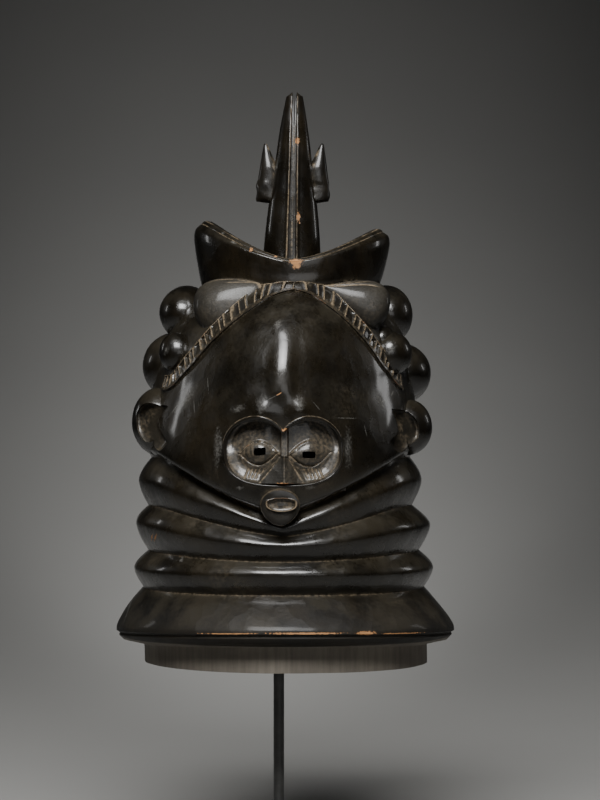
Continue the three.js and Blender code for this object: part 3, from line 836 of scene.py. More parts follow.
@dataclass
class Ears:
    """Two ears: round lobes at the ends of the jaw, each hollowed out in front.

    A scoop is an outline about its middle, both in x and height. A floor is the depth at the
    middle and the slopes across and upwards. A stage is a scale of the outline and the share of
    the way from the mouth to the floor.
    """

    lobes: tuple[Lobe, ...] = (
        Lobe((-95, -28, 181), (19.5, 20, 25), 0),
        Lobe((92, -28, 176.5), (18, 20, 20.5), 0),
    )
    scoops: tuple[Rows, Rows] = (
        ((2.4, 20.8), (18, 18), (10.6, 6.7), (17.8, -7.3), (15.7, -11), (11.6, -14),
         (-0.5, -7.3), (-5, 2.3), (-5.7, 11.5), (-2.7, 17.8)),
        ((-10.4, 15.1), (-1.1, 14.6), (6.3, 9.7), (9.2, 4.3), (10, -0.2), (9.7, -5.1),
         (3.3, -12), (-3.3, -16.2), (-9.3, -12.7), (-11.6, -8.3), (-5.6, 0.6)),
    )
    middles: tuple[tuple[float, float], ...] = ((-104.5, 174.0), (88.8, 175.0))
    floors: tuple[Point, ...] = ((-37.0, -0.85, 0.2), (-43.8, 0.8, 0.15))
    stages: Rows = (
        (1.06, 0.0), (1.02, 0.75), (0.99, 0.9), (0.94, 0.96), (0.84, 0.985), (0.6, 1.0), (0.3, 1.0),
    )
    mouth: float = -80.0
    steps: int = 12

    def shells(self) -> list[Shell]:
        """The two lobes."""
        return [lobe.shell(uneven=0.3, seed=50 + i) for i, lobe in enumerate(self.lobes)]

    def hollows(self) -> list[Shell]:
        """The two hollows that are cut out of them.

        Each has a drawn outline with a notch towards the face, smoothed through its points by
        their order. It is carried straight back to a sloping floor and drawn in towards the
        middle as it nears the floor.

        Returns:
            The closed shells.
        """
        made = []
        for points, (x, z), (level, across, upwards) in zip(self.scoops, self.middles, self.floors):
            corners = np.array(points, dtype=float)
            closed = np.concatenate([corners[-2:], corners, corners[:2]])
            place = np.arange(-2.0, len(corners) + 2)
            at = np.arange(len(corners) * self.steps) / self.steps
            rows = (np.stack([place, row], axis=-1) for row in closed.T)
            edge = np.stack([through(row, at) for row in rows], axis=-1)
            rings = []
            for scale, reach in self.stages:
                inset = mix(corners.mean(axis=0), edge, scale)
                depth = mix(self.mouth, level + inset @ [across, upwards], reach)
                rings.append(stacked(inset[:, 0] + x, depth, inset[:, 1] + z))
            rings = roughen(np.array(rings), 0.25, 7, 61, (0, 1, 0))
            residue = np.clip(0.26 + 0.14 * ripple(rings, 8, 62), 0, 1)
            made.append(Shell.from_rings(rings, residue=residue))
        return made


@dataclass
class CrestBowl:
    """Boat-shaped bowl on the crown, its lip rising to a point at each side.

    Base and mouth are half widths and half depths. The lip is a thickness. A line of residue is
    its strength, its place counted in stations and its half width. The tension is how strongly
    the curve between two stations keeps the direction it has at them.
    """

    form: HeadForm
    foot: float = 280.0
    sunk: float = 6.0
    dip: float = 300.2
    rise: float = 29.0
    tilt: float = 3.0
    floor: float = 295.0
    base: tuple[float, float] = (66.0, 66.0)
    mouth: tuple[float, float] = (74.0, 68.0)
    lip: float = 5.0
    residue_lines: Rows = ((1.0, 6.3, 0.5), (0.75, 8.6, 0.45))
    tension: float = 0.35
    around: int = 128

    def stations(self) -> Rows:
        """Section from the foot over the lip into the dish: half width, half depth and height.

        The height is two numbers. The first is a share of the way up to the lip, from the foot
        outside and from the floor inside, and the second is a distance above that.

        Returns:
            The stations.
        """
        (low_w, low_d), (top_w, top_d), lip = self.base, self.mouth, self.lip
        return (
            (low_w - 12, low_d - 12, 0.0, -self.sunk),
            (low_w, low_d, 0.0, 1.0),
            (mix(low_w, top_w, 0.68), mix(low_d, top_d, 0.5), 0.42, 0.0),
            (top_w, top_d - 0.2, 0.74, 0.0),
            (top_w - 1.0, top_d, 0.88, 0.0),
            (top_w - 4.4, top_d - 0.5, 1.0, -2.9),
            (top_w - 5.4, top_d - 1.2, 1.0, -2.4),
            (top_w - 5.6, top_d - 0.9, 1.0, -1.7),
            (top_w - 7.1, top_d - 2.2, 1.0, -0.3),
            (top_w - 9.4, top_d - 3.6, 1.0, 0.0),
            (top_w - 7.0 - lip, top_d - 1.4 - lip, 1.0, -0.4),
            (top_w - 9.5 - lip, top_d - 3.9 - lip, 1.0, -2.5),
            (top_w * 0.62, top_d * 0.62, 0.25, 0.0),
            (top_w * 0.36, top_d * 0.4, 0.0, 0.6),
        )

    def shell(self) -> Shell:
        """Runs one section round the bowl: foot, side, groove, lip and dish.

        A smooth curve through the stations gives the rings. The lip's height is the dip plus the
        rise times the cosine to the power of 1.5. Residue lies in two broken lines, in the groove
        and along the lip.

        Returns:
            The closed shell.
        """
        angle = full_turn(self.around)
        lip = self.dip + self.rise * np.abs(np.cos(angle)) ** 1.5 - self.tilt * np.cos(angle)
        chain = np.array([
            stacked(width, depth, mix(self.foot if i < 6 else self.floor, lip, share) + above)
            for i, (width, depth, share, above) in enumerate(self.stations())])
        last = len(chain) - 1
        fine = np.concatenate([np.linspace(0, 3, 13)[:-1], np.linspace(3, 11, 26)[:-1],
                               np.linspace(11, last, 7)])
        i = np.clip(fine.astype(int), 0, last - 1)
        before, after = chain[np.clip(i - 1, 0, None)], chain[np.clip(i + 2, None, last)]
        low, high = chain[i], chain[i + 1]
        start, end = (high - before) * self.tension, (after - low) * self.tension
        curve = cubic((fine - i)[:, None, None], low, high, start, end)
        x = self.form.middle(curve[..., 2]) + np.cos(angle) * curve[..., 0]
        rings = stacked(x, np.sin(angle) * curve[..., 1], curve[..., 2])
        rings = roughen(rings, 0.3, 28, 71, (0.5, 1, 0.2))
        middle = float(self.form.middle(self.floor))
        lines = [much * bell(fine - at, half) for much, at, half in self.residue_lines]
        lines = np.maximum(*lines)[:, None]
        broken = mix(0.35, 1.0, smooth(-0.55, 0.1, ripple(rings, 11, 72)))
        return Shell.from_rings(rings, [middle, 0, self.foot - self.sunk - 1],
                                [middle, 0, self.floor], lines * broken)


@dataclass
class SplitHorn:
    """Upright horn with a channel down its front and back, split in two at the top.

    Its rows are height, half width and half depth. Rings are evenly spaced up to the first of the
    tip's levels. The channel's half width and depth are given at its foot and at the top. The
    slot's rows are height from the top and half width.
    """

    form: HeadForm
    rows: Rows = (
        (290, 22.5, 20), (312, 21.4, 19), (346, 18.3, 16.5), (375, 14.2, 13.5),
        (397, 11.4, 10.4), (418, 7.9, 6.8), (427, 6.2, 4.6),
    )
    top: float = 430.3
    tip_levels: tuple[float, ...] = (424.0, 426.4, 428.2, 429.4, 430.0)
    lower_rows: int = 52
    channel_foot: float = 297.0
    channel_half: tuple[float, float] = (3.1, 1.6)
    channel_depth: tuple[float, float] = (4.2, 2.0)
    bead: float = 0.75
    slot_rows: Rows = ((-26.3, 0.4), (-18.3, 0.7), (-8.3, 1.0), (-2, 1.5), (5, 2.6))
    slot_reach: float = 22.0
    around: int = 120

    def shell(self) -> Shell:
        """Oval rings up the horn, with the channel let into the front and back.

        The points of a ring crowd towards the front and back. The channel is a soft box in the
        distance from the middle line, and a bead stands on each of its edges.

        Returns:
            The closed shell.
        """
        turn = full_turn(self.around)
        angle = turn + 0.42 * np.sin(2 * turn)
        foot, blunt = self.rows[0][0], self.rows[-1][0]
        lower = np.linspace(foot, self.tip_levels[0], self.lower_rows)
        height = np.append(lower, self.tip_levels[1:])[:, None]
        taper = np.sqrt(np.clip((self.top - height) / 6.0, 0.02, 1.0))
        width, depth = (through(self.rows, height, column) * np.where(height > blunt, taper, 1)
                        for column in (1, 2))
        share = (height - foot) / (self.top - foot)
        half = mix(*self.channel_half, share)
        across = width * np.cos(angle)
        opened = smooth(self.channel_foot - 1, self.channel_foot + 3, height)
        inside = smooth(half + 0.45, half - 0.45, np.abs(across)) * opened
        beads = bell(np.abs(across) - half - 1.25, 0.95) * opened * smooth(415, 380, height)
        side = np.sign(np.sin(angle))
        reach = depth * np.sin(angle) - side * mix(*self.channel_depth, share) * inside
        rings = stacked(self.form.middle(height) + across, reach + side * self.bead * beads, height)
        rings = roughen(rings, 0.2, 20, 81, (1, 0.4, 0))
        streaks = mix(0.55, 1.0, smooth(-0.4, 0.4, ripple(rings * [1, 1, 0.3], 6, 83)))
        off = np.abs(across) / half
        lines = 0.55 * bell(off, 0.45) + 0.9 * bell(off - 1.3, 0.22) - 0.45 * bell(off - 0.8, 0.2)
        residue = opened * lines * streaks * (np.abs(np.sin(angle)) > 0.5)
        return Shell.from_rings(rings, self.form.axis(foot - 1), self.form.axis(self.top), residue)

    def slot(self) -> Shell:
        """Wedge that splits the top in two, four-sided and wider upwards."""
        level, half = (np.array(self.slot_rows) + [self.top, 0]).T[..., None]
        corners = np.array([[-1, -1], [1, -1], [1, 1], [-1, 1]])
        x = self.form.middle(level) + half * corners[:, 0]
        rings = stacked(x, self.slot_reach * corners[:, 1], level)
        return Shell.from_rings(rings, self.form.axis(403.5), self.form.axis(self.top + 6))


@dataclass(frozen=True)
class SideProng:
    """Fin on one side of the horn with a pointed tip; its worn foot slants down to the horn."""

    side: int
    foot: float = 346.0
    shoulder: float = 371.0
    tip: float = 391.0
    out: float = 27.5
    shoulder_out: float = 25.6
    tip_out: float = 22.0
    half_depth: float = 6.5
    slant: float = 1.3
    around: int = 40

    def shell(self, form: HeadForm) -> Shell:
        """Oval rings up the fin, narrowing to the tip; the foot rises outwards and is chipped.

        Args:
            form: The head's form, for the middle line.

        Returns:
            The closed shell.
        """
        share = np.concatenate([[0, 0.015, 0.04], np.linspace(0.08, 0.97, 30), [0.985, 0.995]])
        share = share[:, None]
        height = mix(self.foot, self.tip, share)
        rows = (
            (self.foot, self.out, 9.5), (self.foot + 8, self.out, 9.0),
            (self.shoulder, self.shoulder_out, 7.2), (mix(self.shoulder, self.tip, 0.5), 24.2, 4.2),
            (self.tip - 2, self.tip_out + 0.9, 1.7), (self.tip, self.tip_out + 0.3, 0.7),
        )
        out, half = through(rows, height, 1), through(rows, height, 2)
        round_foot = np.sqrt(np.clip(share / 0.05, 0.12, 1.0))
        angle = full_turn(self.around)
        across = out - half + np.cos(angle) * half * mix(0.9, 1, round_foot)
        y = np.sin(angle) * self.half_depth * np.clip(half / 7.0, 0.2, 1.0) * round_foot
        z = height + self.slant * smooth(0.5, 0, share) * (across - 20) / 8
        rings = stacked(form.middle(height) + self.side * across, y, z)
        chipped = smooth(19, 12, z - self.foot) * smooth(-4, 4, z - self.foot)
        rings = roughen(rings, 0.9 * chipped, 5.5, 90 + self.side, (1, 1, 0.2))
        end = np.array(form.axis(self.tip)) + [self.side * (self.tip_out - 0.2), 0, 0]
        residue = 0.75 * smooth(0.1, -0.9, np.cos(angle)) * smooth(-0.5, 0.4, ripple(rings, 6, 95))
        return Shell.from_rings(rings, last=end, residue=residue)


@dataclass(frozen=True)
class Eye:
    """Almond eye: middle, half width, rise of each lid, and slope of the line between its corners.

    Its hole is given by middle, half width, half height and slope.
    """

    x: float
    z: float
    half: float
    upper: float
    lower: float
    tilt: float
    hole: tuple[float, float, float, float, float]


@dataclass
class SunkFace:
    """Small face sunk into the head: a panel of two joined circles with eyes and nose.

    The nose's half widths at its foot are those on the left and right, and its ridge has a depth
    at the brow and at the foot. Beside it the floor sinks by a depth, at a distance, over a half
    width. Towards the outline it turns up, less above than below. A group of strokes is its left
    and right end and its lean; all strokes have one middle height and one half length. The rings
    of the panel's edge are a scale and a depth behind the face, with some room behind the floor.
    The line round the panel has a half width and stands out, less at the sides than at the brows.
    """

    form: HeadForm
    circles: tuple[float, float] = (-20.5, 18.0)
    level: float = 162.0
    radius: float = 23.2
    bottom: float = 135.8
    squareness: float = 2.7
    depth_top: float = 10.5
    depth_bottom: float = 5.0
    eyes: tuple[Eye, ...] = (
        Eye(-18.6, 158.9, 13.2, 8.1, 7.9, 0.02, (-17.6, 160.3, 4.0, 2.5, 0.06)),
        Eye(18.2, 158.9, 14.6, 8.6, 9.2, 0.08, (17.4, 157.9, 4.3, 2.2, -0.04)),
    )
    nose_x: float = -0.2
    nose_apex: float = 157.5
    nose_foot: float = 137.2
    nose_brow: float = 182.0
    nose_half: tuple[float, float] = (16.4, 12.4)
    ridge_front: tuple[float, float] = (-117.2, -122.0)
    beside_nose: Point = (0.9, 7.5, 6.0)
    turned_up: tuple[float, float] = (2.6, 3.6)
    strokes: tuple[Point, ...] = ((-27.2, -16.4, 1.0), (15.4, 26.2, -1.0))
    stroke_rows: tuple[float, float] = (144.5, 3.8)
    edge_rings: Rows = (
        (1.05, -16.0), (0.995, 0.0), (0.965, 1.6), (0.95, 3.0), (0.94, 6.0), (0.93, 30.0),
        (0.5, 30.0),
    )
    room: float = 2.5
    line_half: tuple[float, float] = (0.75, 1.9)
    line_tall: tuple[float, float] = (0.75, 1.5)
    grid: tuple[tuple[float, float, int], ...] = ((-46.5, 44, 162), (131.5, 188.5, 104))
    outline_points: int = 144
    bead_points: tuple[int, int] = (300, 14)

    @property
    def centre(self) -> float:
        """Middle of the panel across."""
        return sum(self.circles) / 2

    def rim(self, angle: Array) -> Array:
        """Outline of the panel, as x and height at an angle about its middle.

        Above, it is the far side of the two circles. Below, it is a superellipse, flat along the
        bottom.

        Args:
            angle: Angle from the x direction upwards.

        Returns:
            The places.
        """
        apart = (self.circles[1] - self.circles[0]) / 2
        shift = np.where(np.cos(angle) > 0, apart, -apart)
        reach = np.cos(angle) * shift
        round_part = reach + np.sqrt(self.radius ** 2 - shift ** 2 + reach ** 2)
        square = outline(angle, self.level - self.bottom, apart + self.radius, self.squareness)
        distance = np.where(np.sin(angle) > 0, round_part, square)
        return np.stack([self.centre + np.cos(angle) * distance,
                         self.level + np.sin(angle) * distance], axis=-1)

    def inwards(self, x: Array, z: Array) -> Array:
        """Share of the way from the panel's middle to its outline; 1 on the outline."""
        rim = self.rim(np.arctan2(z - self.level, x - self.centre))
        full = np.hypot(rim[..., 0] - self.centre, rim[..., 1] - self.level)
        return np.hypot(x - self.centre, z - self.level) / full

    def floor(self, x: Array, z: Array) -> Array:
        """Depth of the panel's floor: it follows the face, deepest under the brows."""
        share = np.clip((z - self.bottom) / (self.level + self.radius - self.bottom), 0, 1)
        return self.form.face_depth(x, z) + mix(self.depth_bottom, self.depth_top, share ** 0.8)

    def cutter(self) -> Shell:
        """Solid of the sunk panel: the outline carried back, narrower behind a bevelled edge.

        Returns:
            The closed shell.
        """
        rim = self.rim(full_turn(self.outline_points))
        middle = np.array([self.centre, self.level - 2])
        skin = self.form.face_depth(rim[:, 0], rim[:, 1])
        rings = []
        for scale, back in self.edge_rings:
            x, z = mix(middle, rim, scale).T
            rings.append(stacked(x, np.minimum(skin + back, self.floor(x, z) + self.room), z))
        first = [middle[0], rings[0][:, 1].min(), middle[1]]
        last = [middle[0], float(self.floor(*middle)) + self.room, middle[1]]
        return Shell.from_rings(np.array(rings), first, last)

    def bead(self) -> Shell:
        """Brow over each eye, which thins to a fine raised line down the sides and below.

        An oval section is carried along the outline. Its half width follows the height of the
        place on the outline, from the sides up to the brows.

        Returns:
            The closed shell, a ring cut open at the middle of the bottom.
        """
        along, around = self.bead_points
        angle = np.linspace(-np.pi / 2 + 0.004, 1.5 * np.pi - 0.004, along)
        rim = self.rim(angle)
        middle = np.array([self.centre, self.level - 2])
        span = np.linalg.norm(rim - middle, axis=1)[:, None]
        turn = full_turn(around)
        brow = smooth(0.1, 0.75, np.sin(angle))[:, None]
        half, tall = mix(*self.line_half, brow), mix(*self.line_tall, brow)
        scale = 1.0 + (mix(0.3, -1.0, brow) + half * np.cos(turn)) / span
        at = mix(middle, rim[:, None, :], scale[..., None])
        skin = self.form.face_depth(at[..., 0], at[..., 1])
        rings = stacked(at[..., 0], skin + 0.25 - tall * np.sin(turn), at[..., 1])
        residue = 0.8 * bell(np.cos(turn) - 1, 0.3) * np.ones_like(brow)
        return Shell.from_rings(rings, residue=residue)

    def eye_relief(self, eye: Eye, x: Array, z: Array) -> tuple[Array, Array]:
        """Height of an eye over the floor: domed inside its lids, with a line along each lid.

        Each lid is a parabola over the eye's width. The dome rises with the product of the
        distances to both lids. The upper lid is a ridge that runs on down to the nose, the lower
        one a groove.

        Args:
            eye: The eye.
            x: Places across.
            z: Heights.

        Returns:
            The relief, positive to the front, and the residue in the lids.
        """
        u = (x - eye.x) / eye.half
        line = eye.z + eye.tilt * (x - eye.x)
        arch = np.clip(1 - np.abs(u) ** 1.8, 0, 1)
        over, under = line + eye.upper * arch - z, z - line + eye.lower * arch
        inside = smooth(-0.3, 0.5, np.minimum(over, under)) * smooth(1.02, 0.96, np.abs(u))
        fill = np.clip(over, 0, None) * np.clip(under, 0, None) / ((eye.upper + eye.lower) / 2) ** 2
        dome = 4.0 * np.clip(fill, 0, 1) ** 0.55 * inside
        near = smooth(1.15, 1.0, np.abs(u))
        lid = bell(over + 0.5, 0.75) * near
        from_nose = np.abs(x - self.nose_x)
        same_side = smooth(-1.0, 1.0, np.sign(eye.x) * (x - self.nose_x))
        run_on = bell(z - self.nose_apex - 0.4 - 0.75 * (from_nose - 3), 0.8)
        run_on = run_on * smooth(9, 6.5, from_nose) * same_side
        groove = bell(under + 0.3, 0.6) * near
        cheek = smooth(6, 0, -under) * smooth(0, -0.8, under) * near
        lift = dome + 1.25 * np.maximum(lid, 1.3 * run_on) - 0.75 * groove + cheek
        return lift, np.maximum(0.5 * np.maximum(lid, run_on), 0.75 * groove)

    def cuts(self, x: Array, z: Array) -> tuple[Array, Array]:
        """Slanting strokes cut under the eyes: their relief, negative, and the residue in them."""
        relief, residue = np.zeros((2, *x.shape))
        level, half = self.stroke_rows
        along = (z - level) / half
        for left, right, lean in self.strokes:
            row = (x - lean * 1.7 * along - left) / (right - left) * 4
            off = (row - np.round(row)) * (right - left) / 4
            ends = smooth(-0.5, -0.3, row) * smooth(4.5, 4.3, row)
            ends = ends * smooth(1.15, 0.85, np.abs(along))
            relief = relief - 0.8 * bell(off, 0.5) * ends
            residue = np.maximum(residue, 0.9 * bell(off, 0.62) * ends)
        return relief, residue

    def nose(self, x: Array, z: Array) -> tuple[Array, Array]:
        """Front of the nose: a narrow bar, and a pyramid below whose half width grows downwards.

        Args:
            x: Places across.
            z: Heights.

        Returns:
            The depth, zero where there is no nose, and the share of the pyramid's half width.
        """
        away = np.abs(x - self.nose_x)
        down = np.clip((self.nose_brow - z) / (self.nose_brow - self.nose_foot), 0, 1)
        ridge = mix(*self.ridge_front, down)
        bar = ridge + 0.4 + 14 * smooth(2.1, 4.2, away) + 30 * smooth(4.2, 7, away)
        widen = np.clip((self.nose_apex - z) / (self.nose_apex - self.nose_foot), 0.0, 1.0)
        off = away / (1.6 + np.where(x < self.nose_x, *self.nose_half) * widen)
        pyramid = ridge + mix(2.4, 5.6, widen) * np.clip(off, 0, 1) + 14.0 * np.clip(off - 1, 0, 3)
        nose = np.minimum(np.where(z > self.nose_apex - 1, bar, 0),
                          np.where(z < self.nose_apex + 1, pyramid, 0))
        return np.where(z > self.nose_foot, nose, 0), off

    def relief(self) -> Shell:
        """Slab with the face's relief on its front, a height over the grid of x and height.

        The floor turns up towards the outline and sinks beside the nose, and fine arcs of the
        knife follow the outline.

        Returns:
            The closed shell.
        """
        x, z = np.meshgrid(*(np.linspace(*span) for span in self.grid))
        floor, inwards = self.floor(x, z), self.inwards(x, z)
        low = smooth(self.level + 8, self.level - 6, z)
        edge = mix(smooth(0.86, 0.985, inwards), smooth(0.7, 0.97, inwards), low)
        upturn = mix(*self.turned_up, low) * edge
        depth = floor - upturn * smooth(self.bottom - 4, self.bottom + 6, z)
        away = np.abs(x - self.nose_x)
        sunk, distance, half = self.beside_nose
        beside = sunk * bell(away - distance, half) * smooth(156, 168, z)
        depth = depth + beside * smooth(1.0, 0.8, inwards)
        flat = stacked(x, 0.0, z)
        arcs = np.sin(inwards * 80 + 2.5 * ripple(flat, 16, 17)) * smooth(0.3, 0.6, inwards)
        residue = 0.34 + 0.05 * arcs + 0.12 * smooth(0.86, 0.98, inwards)
        for raised, lines in (*(self.eye_relief(eye, x, z) for eye in self.eyes), self.cuts(x, z)):
            depth = depth - raised
            residue = np.maximum(residue, lines)
        nose, off = self.nose(x, z)
        on_nose = smooth(0.3, -0.3, nose - depth) * (z < self.nose_apex)
        side = np.where(x < self.nose_x, 0.12, 0.26)
        residue = np.where(on_nose > 0.5, side + 0.5 * bell(off - 1.0, 0.06), residue)
        residue = np.maximum(residue, 0.5 * bell(away, 0.5) * on_nose)
        depth = np.minimum(depth, nose) + 1.5 * smooth(0, -1.2, z - self.nose_foot)
        depth = depth + 0.1 * ripple(stacked(x, depth, z), 6, 15) + 0.025 * arcs
        # Pale dry patches low on the panel, partly painted sheen.
        dry_and_sheen = smooth(0.2, 0.8, ripple(flat, 9, 16) + 0.5) * low * (away > 9)
        return Shell.from_slab(stacked(x, depth, z), stacked(x, floor + 8.0, z), residue,
                               0.1 + 0.35 * dry_and_sheen * smooth(0.5, 0.8, inwards))

    def eye_holes(self) -> list[Shell]:
        """Oblong holes that run straight back through the eyes into the hollow."""
        corners = np.array([(-1, -1), (-0.2, -1.15), (1, -1), (1.06, 0), (1, 1), (0.1, 1.1),
                            (-1, 1), (-1.08, 0)])
        made = []
        for eye in self.eyes:
            x, z, half, tall, tilt = eye.hole
            across, up = corners.T * [[half], [tall]]
            up = up + tilt * across
            made.append(Shell.from_rings(np.array([stacked(x + across, y, z + up)
                                                   for y in (-135, -112, -75)]),
                                         [x, -135, z], [x, -75, z]))
        return made


@dataclass
class Mouth:
    """Pouting mouth under the panel: a flat lip round an oval opening, over a pointed chin.

    The opening is its middle from that of the mouth, its half width and its half height. Rings of
    the side and of the opening are a scale, a depth behind the front and the residue there. Those
    of the lip are the share of the way to the opening and a depth.
    """

    x: float = -3.2
    z: float = 122.3
    half: float = 13.8
    top: float = 133.4
    bottom: float = 107.6
    front: float = -124.5
    back: float = -100.0
    opening: tuple[float, float, float, float] = (1.0, 0.6, 10.2, 4.9)
    side: Rows = (
        (1.08, 24.5, 0.0), (1.05, 9, 0.1), (1.02, 4, 0.5), (1.0, 2.0, 0.55), (0.975, 1.0, 0.3),
        (0.955, 0.62, 0.0),
    )
    lip: Rows = ((0.0, 0.55), (0.4, 0.5), (0.85, 0.42))
    inner: Rows = (
        (1.12, 0.2, 0.15), (1.06, 0.0, 0.7), (1.0, 0.4, 0.8), (0.95, 1.5, 0.3), (0.9, 2.9, 0.4),
        (0.75, 3.4, 0.45), (0.35, 3.6, 0.4),
    )
    deep: float = 3.4
    around: int = 120

    def edge(self, angle: Array) -> Array:
        """Outline about the middle: an ellipse above, drawn down to a round point below."""
        up = np.sin(angle)
        tall = np.where(up > 0, self.top - self.z, self.z - self.bottom)
        width = self.half * (1 - 0.2 * np.clip(-up, 0, 1) ** 2)
        return np.stack([np.cos(angle) * width, up * tall], axis=-1)

    def mouth_edge(self, angle: Array) -> Array:
        """Outline of the opening: flattened above, a bow below."""
        x, z, wide, tall = self.opening
        up = np.sin(angle)
        flat = np.where(up > 0, np.abs(up) ** 0.6 * 0.85, -np.abs(up) ** 0.9)
        return np.stack([x + np.cos(angle) * wide, z + flat * tall], axis=-1)

    def shell(self) -> Shell:
        """Block from the face outwards: side wall, flat lip, edge of the opening and its floor.

        The rings shrink from the outline to the opening while their depth follows a table. Below
        the opening the front leans back towards the chin.

        Returns:
            The closed shell.
        """
        angle = full_turn(self.around)
        outer, hole = self.edge(angle), self.mouth_edge(angle)
        chin = smooth(0.1, -0.9, np.sin(angle))
        crown = smooth(0.3, 1.0, np.sin(angle))
        on_lip = [(mix(outer * 0.93, hole * 1.12, share), deep, 0.0) for share, deep in self.lip]
        outside = [(outer * scale, deep, share) for scale, deep, share in self.side]
        inside = [(hole * scale, deep, share) for scale, deep, share in self.inner]
        lean = 2.6 * chin - 0.3 * crown
        rings = [stacked(self.x + at[:, 0], self.front + deep + lean, self.z + at[:, 1])
                 for at, deep, _ in outside + on_lip]
        rings += [stacked(self.x + at[:, 0], self.front + deep, self.z + at[:, 1])
                  for at, deep, _ in inside]
        shares = [share for _, _, share in outside + on_lip + inside]
        residue = np.repeat(shares, self.around).reshape(-1, self.around)
        start = [self.x, self.back, self.z]
        end = [self.x + self.opening[0], self.front + self.deep - 0.3, self.z + self.opening[1]]
        return Shell.from_rings(np.array(rings), start, end, residue)


@dataclass
class Wear:
    """Creases and rubbed edges, found from the surface, and the places where it is worn.

    A worn place on the front is a line between two points, each x and height, and its half width.
    Some scratch and dry places are painted glints and painted sheen: pale marks where the surface
    would catch the light.
    """

    chips: Rows = (
        (9.3, 390.6, 8.9, 393.2, 1.6), (9.9, 331.0, 9.5, 337.0, 1.5),
        (5.0, 298.2, 11.2, 298.2, 2.3), (8.0, 296.6, 8.4, 295.8, 3.3),
        (-25.2, 306.4, -24.6, 308.4, 1.2), (-7.4, 302.4, -6.4, 301.8, 0.7),
        (-4.8, 137.4, 2.8, 137.2, 1.0), (-1.2, 175.6, 1.4, 176.2, 1.1),
        (-98.6, 93.6, -97.8, 97.4, 0.7), (-96.4, 93.2, -94.6, 98.4, 0.7),
        (-5.6, 200.4, -1.6, 202.6, 0.4), (-14.0, 31.9, 42.0, 31.5, 0.75),
        (52.0, 31.0, 64.0, 30.4, 1.5), (66.0, 29.9, 100.0, 28.1, 0.6),
        (-62.0, 30.4, -16.0, 31.8, 0.5),
    )
    # Scratches and a crack, with painted glints: pale streaks on the cheeks and beside the right
    # ear where the surface would catch the light.
    scratches_and_glints: Rows = (
        (-39.4, 313.4, -36.8, 312.6, 1.0), (-46.6, 320.2, -45.8, 320.4, 1.0),
        (-76.0, 79.6, -74.4, 82.0, 1.1), (-12.4, 196.8, -5.4, 200.4, 0.25),
        (78.0, 200.5, 80.0, 204.0, 0.7), (70.0, 195.0, 73.0, 197.4, 0.6),
        (72.5, 191.0, 70.5, 195.0, 0.5), (-56.0, 215.0, -55.0, 202.0, 0.3),
        (-66.0, 197.0, -65.2, 186.5, 0.3), (-77.0, 195.6, -86.0, 183.6, 0.35),
        (36.0, 184.2, 53.0, 183.8, 0.3), (-107.0, 76.0, -121.6, 25.0, 0.35),
        (20.0, 196.0, 26.0, 189.0, 0.3), (57.0, 180.0, 60.0, 168.0, 0.3),
    )
    # Dry patches, many of them painted sheen and painted highlights: pale patches on the brows,
    # round the panel, on the small lobes and on the forehead.
    dry_and_sheen: Rows = (
        (-16.3, 190.6, -15.9, 195.6, 4.6), (11.0, 192.4, 11.0, 196.8, 4.2),
        (-48.4, 150.0, -47.6, 176.0, 3.2), (45.6, 149.0, 45.2, 175.0, 3.4),
        (-66.0, 206.0, -76.0, 190.0, 4.0), (66.0, 203.0, 74.0, 190.0, 3.0),
        (-36.0, 190.0, -30.0, 192.0, 3.0), (-26.0, 119.0, -18.0, 113.6, 2.4),
        (-45.9, 158.0, -45.9, 174.0, 1.6), (45.6, 158.0, 45.6, 170.0, 2.2),
        (-34.0, 134.2, -29.8, 133.8, 1.8), (15.8, 134.4, 20.4, 134.6, 1.6),
        (14.6, 122.0, 21.4, 122.4, 3.4), (-20.0, 117.4, -18.0, 113.0, 1.6),
        (-70.0, 195.8, -70.0, 204.4, 3.6), (-6.6, 249.0, -4.0, 253.0, 3.0),
        (76.0, 232.5, 79.0, 236.0, 3.4), (-88.0, 232.0, -86.4, 236.0, 2.2),
    )

    def curvature(self, solid: bpy.types.Object) -> tuple[Array, Array]:
        """Mean slope from each point to its neighbours against its normal; hollow is positive.

        Args:
            solid: The object.

        Returns:
            The values and the edges' point numbers.
        """
        mesh = solid.data
        count = len(mesh.vertices)
        points, normals = np.empty((2, count * 3))
        mesh.vertices.foreach_get("co", points)
        mesh.vertex_normals.foreach_get("vector", normals)
        points, normals = points.reshape(-1, 3), normals.reshape(-1, 3)
        edges = np.empty(len(mesh.edges) * 2, dtype=np.int32)
        mesh.edges.foreach_get("vertices", edges)
        edges = edges.reshape(-1, 2)
        run = points[edges[:, 1]] - points[edges[:, 0]]
        run /= np.maximum(np.linalg.norm(run, axis=1, keepdims=True), 1e-6)
        total = np.bincount(edges[:, 0], (run * normals[edges[:, 0]]).sum(1), count)
        total += np.bincount(edges[:, 1], -(run * normals[edges[:, 1]]).sum(1), count)
        meet = np.bincount(edges.ravel(), minlength=count)
        return total / np.maximum(meet, 1), edges

    def spread(self, value: Array, edges: Array, times: int) -> Array:
        """Evens values out over the surface: each round mixes in the neighbours' mean by half."""
        count = len(value)
        meet = np.maximum(np.bincount(edges.ravel(), minlength=count), 1)
        for _ in range(times):
            near = np.bincount(edges[:, 0], value[edges[:, 1]], count)
            near += np.bincount(edges[:, 1], value[edges[:, 0]], count)
            value = mix(value, near / meet, 0.5)
        return value

    def mark(self, solid: bpy.types.Object) -> None:
        """Writes the point attributes crease and edge.

        Each is the slope beyond a threshold, evened out a number of times and scaled up.

        Args:
            solid: The object, whose mesh is final.
        """
        bend, edges = self.curvature(solid)
        marks = (("crease", bend - 0.03, 3, 5.0), ("edge", -bend - 0.06, 1, 3.2))
        for name, excess, times, gain in marks:
            values = np.clip(self.spread(np.clip(excess, 0, 0.6), edges, times) * gain, 0, 1)
            write_attribute(solid.data, name, values)


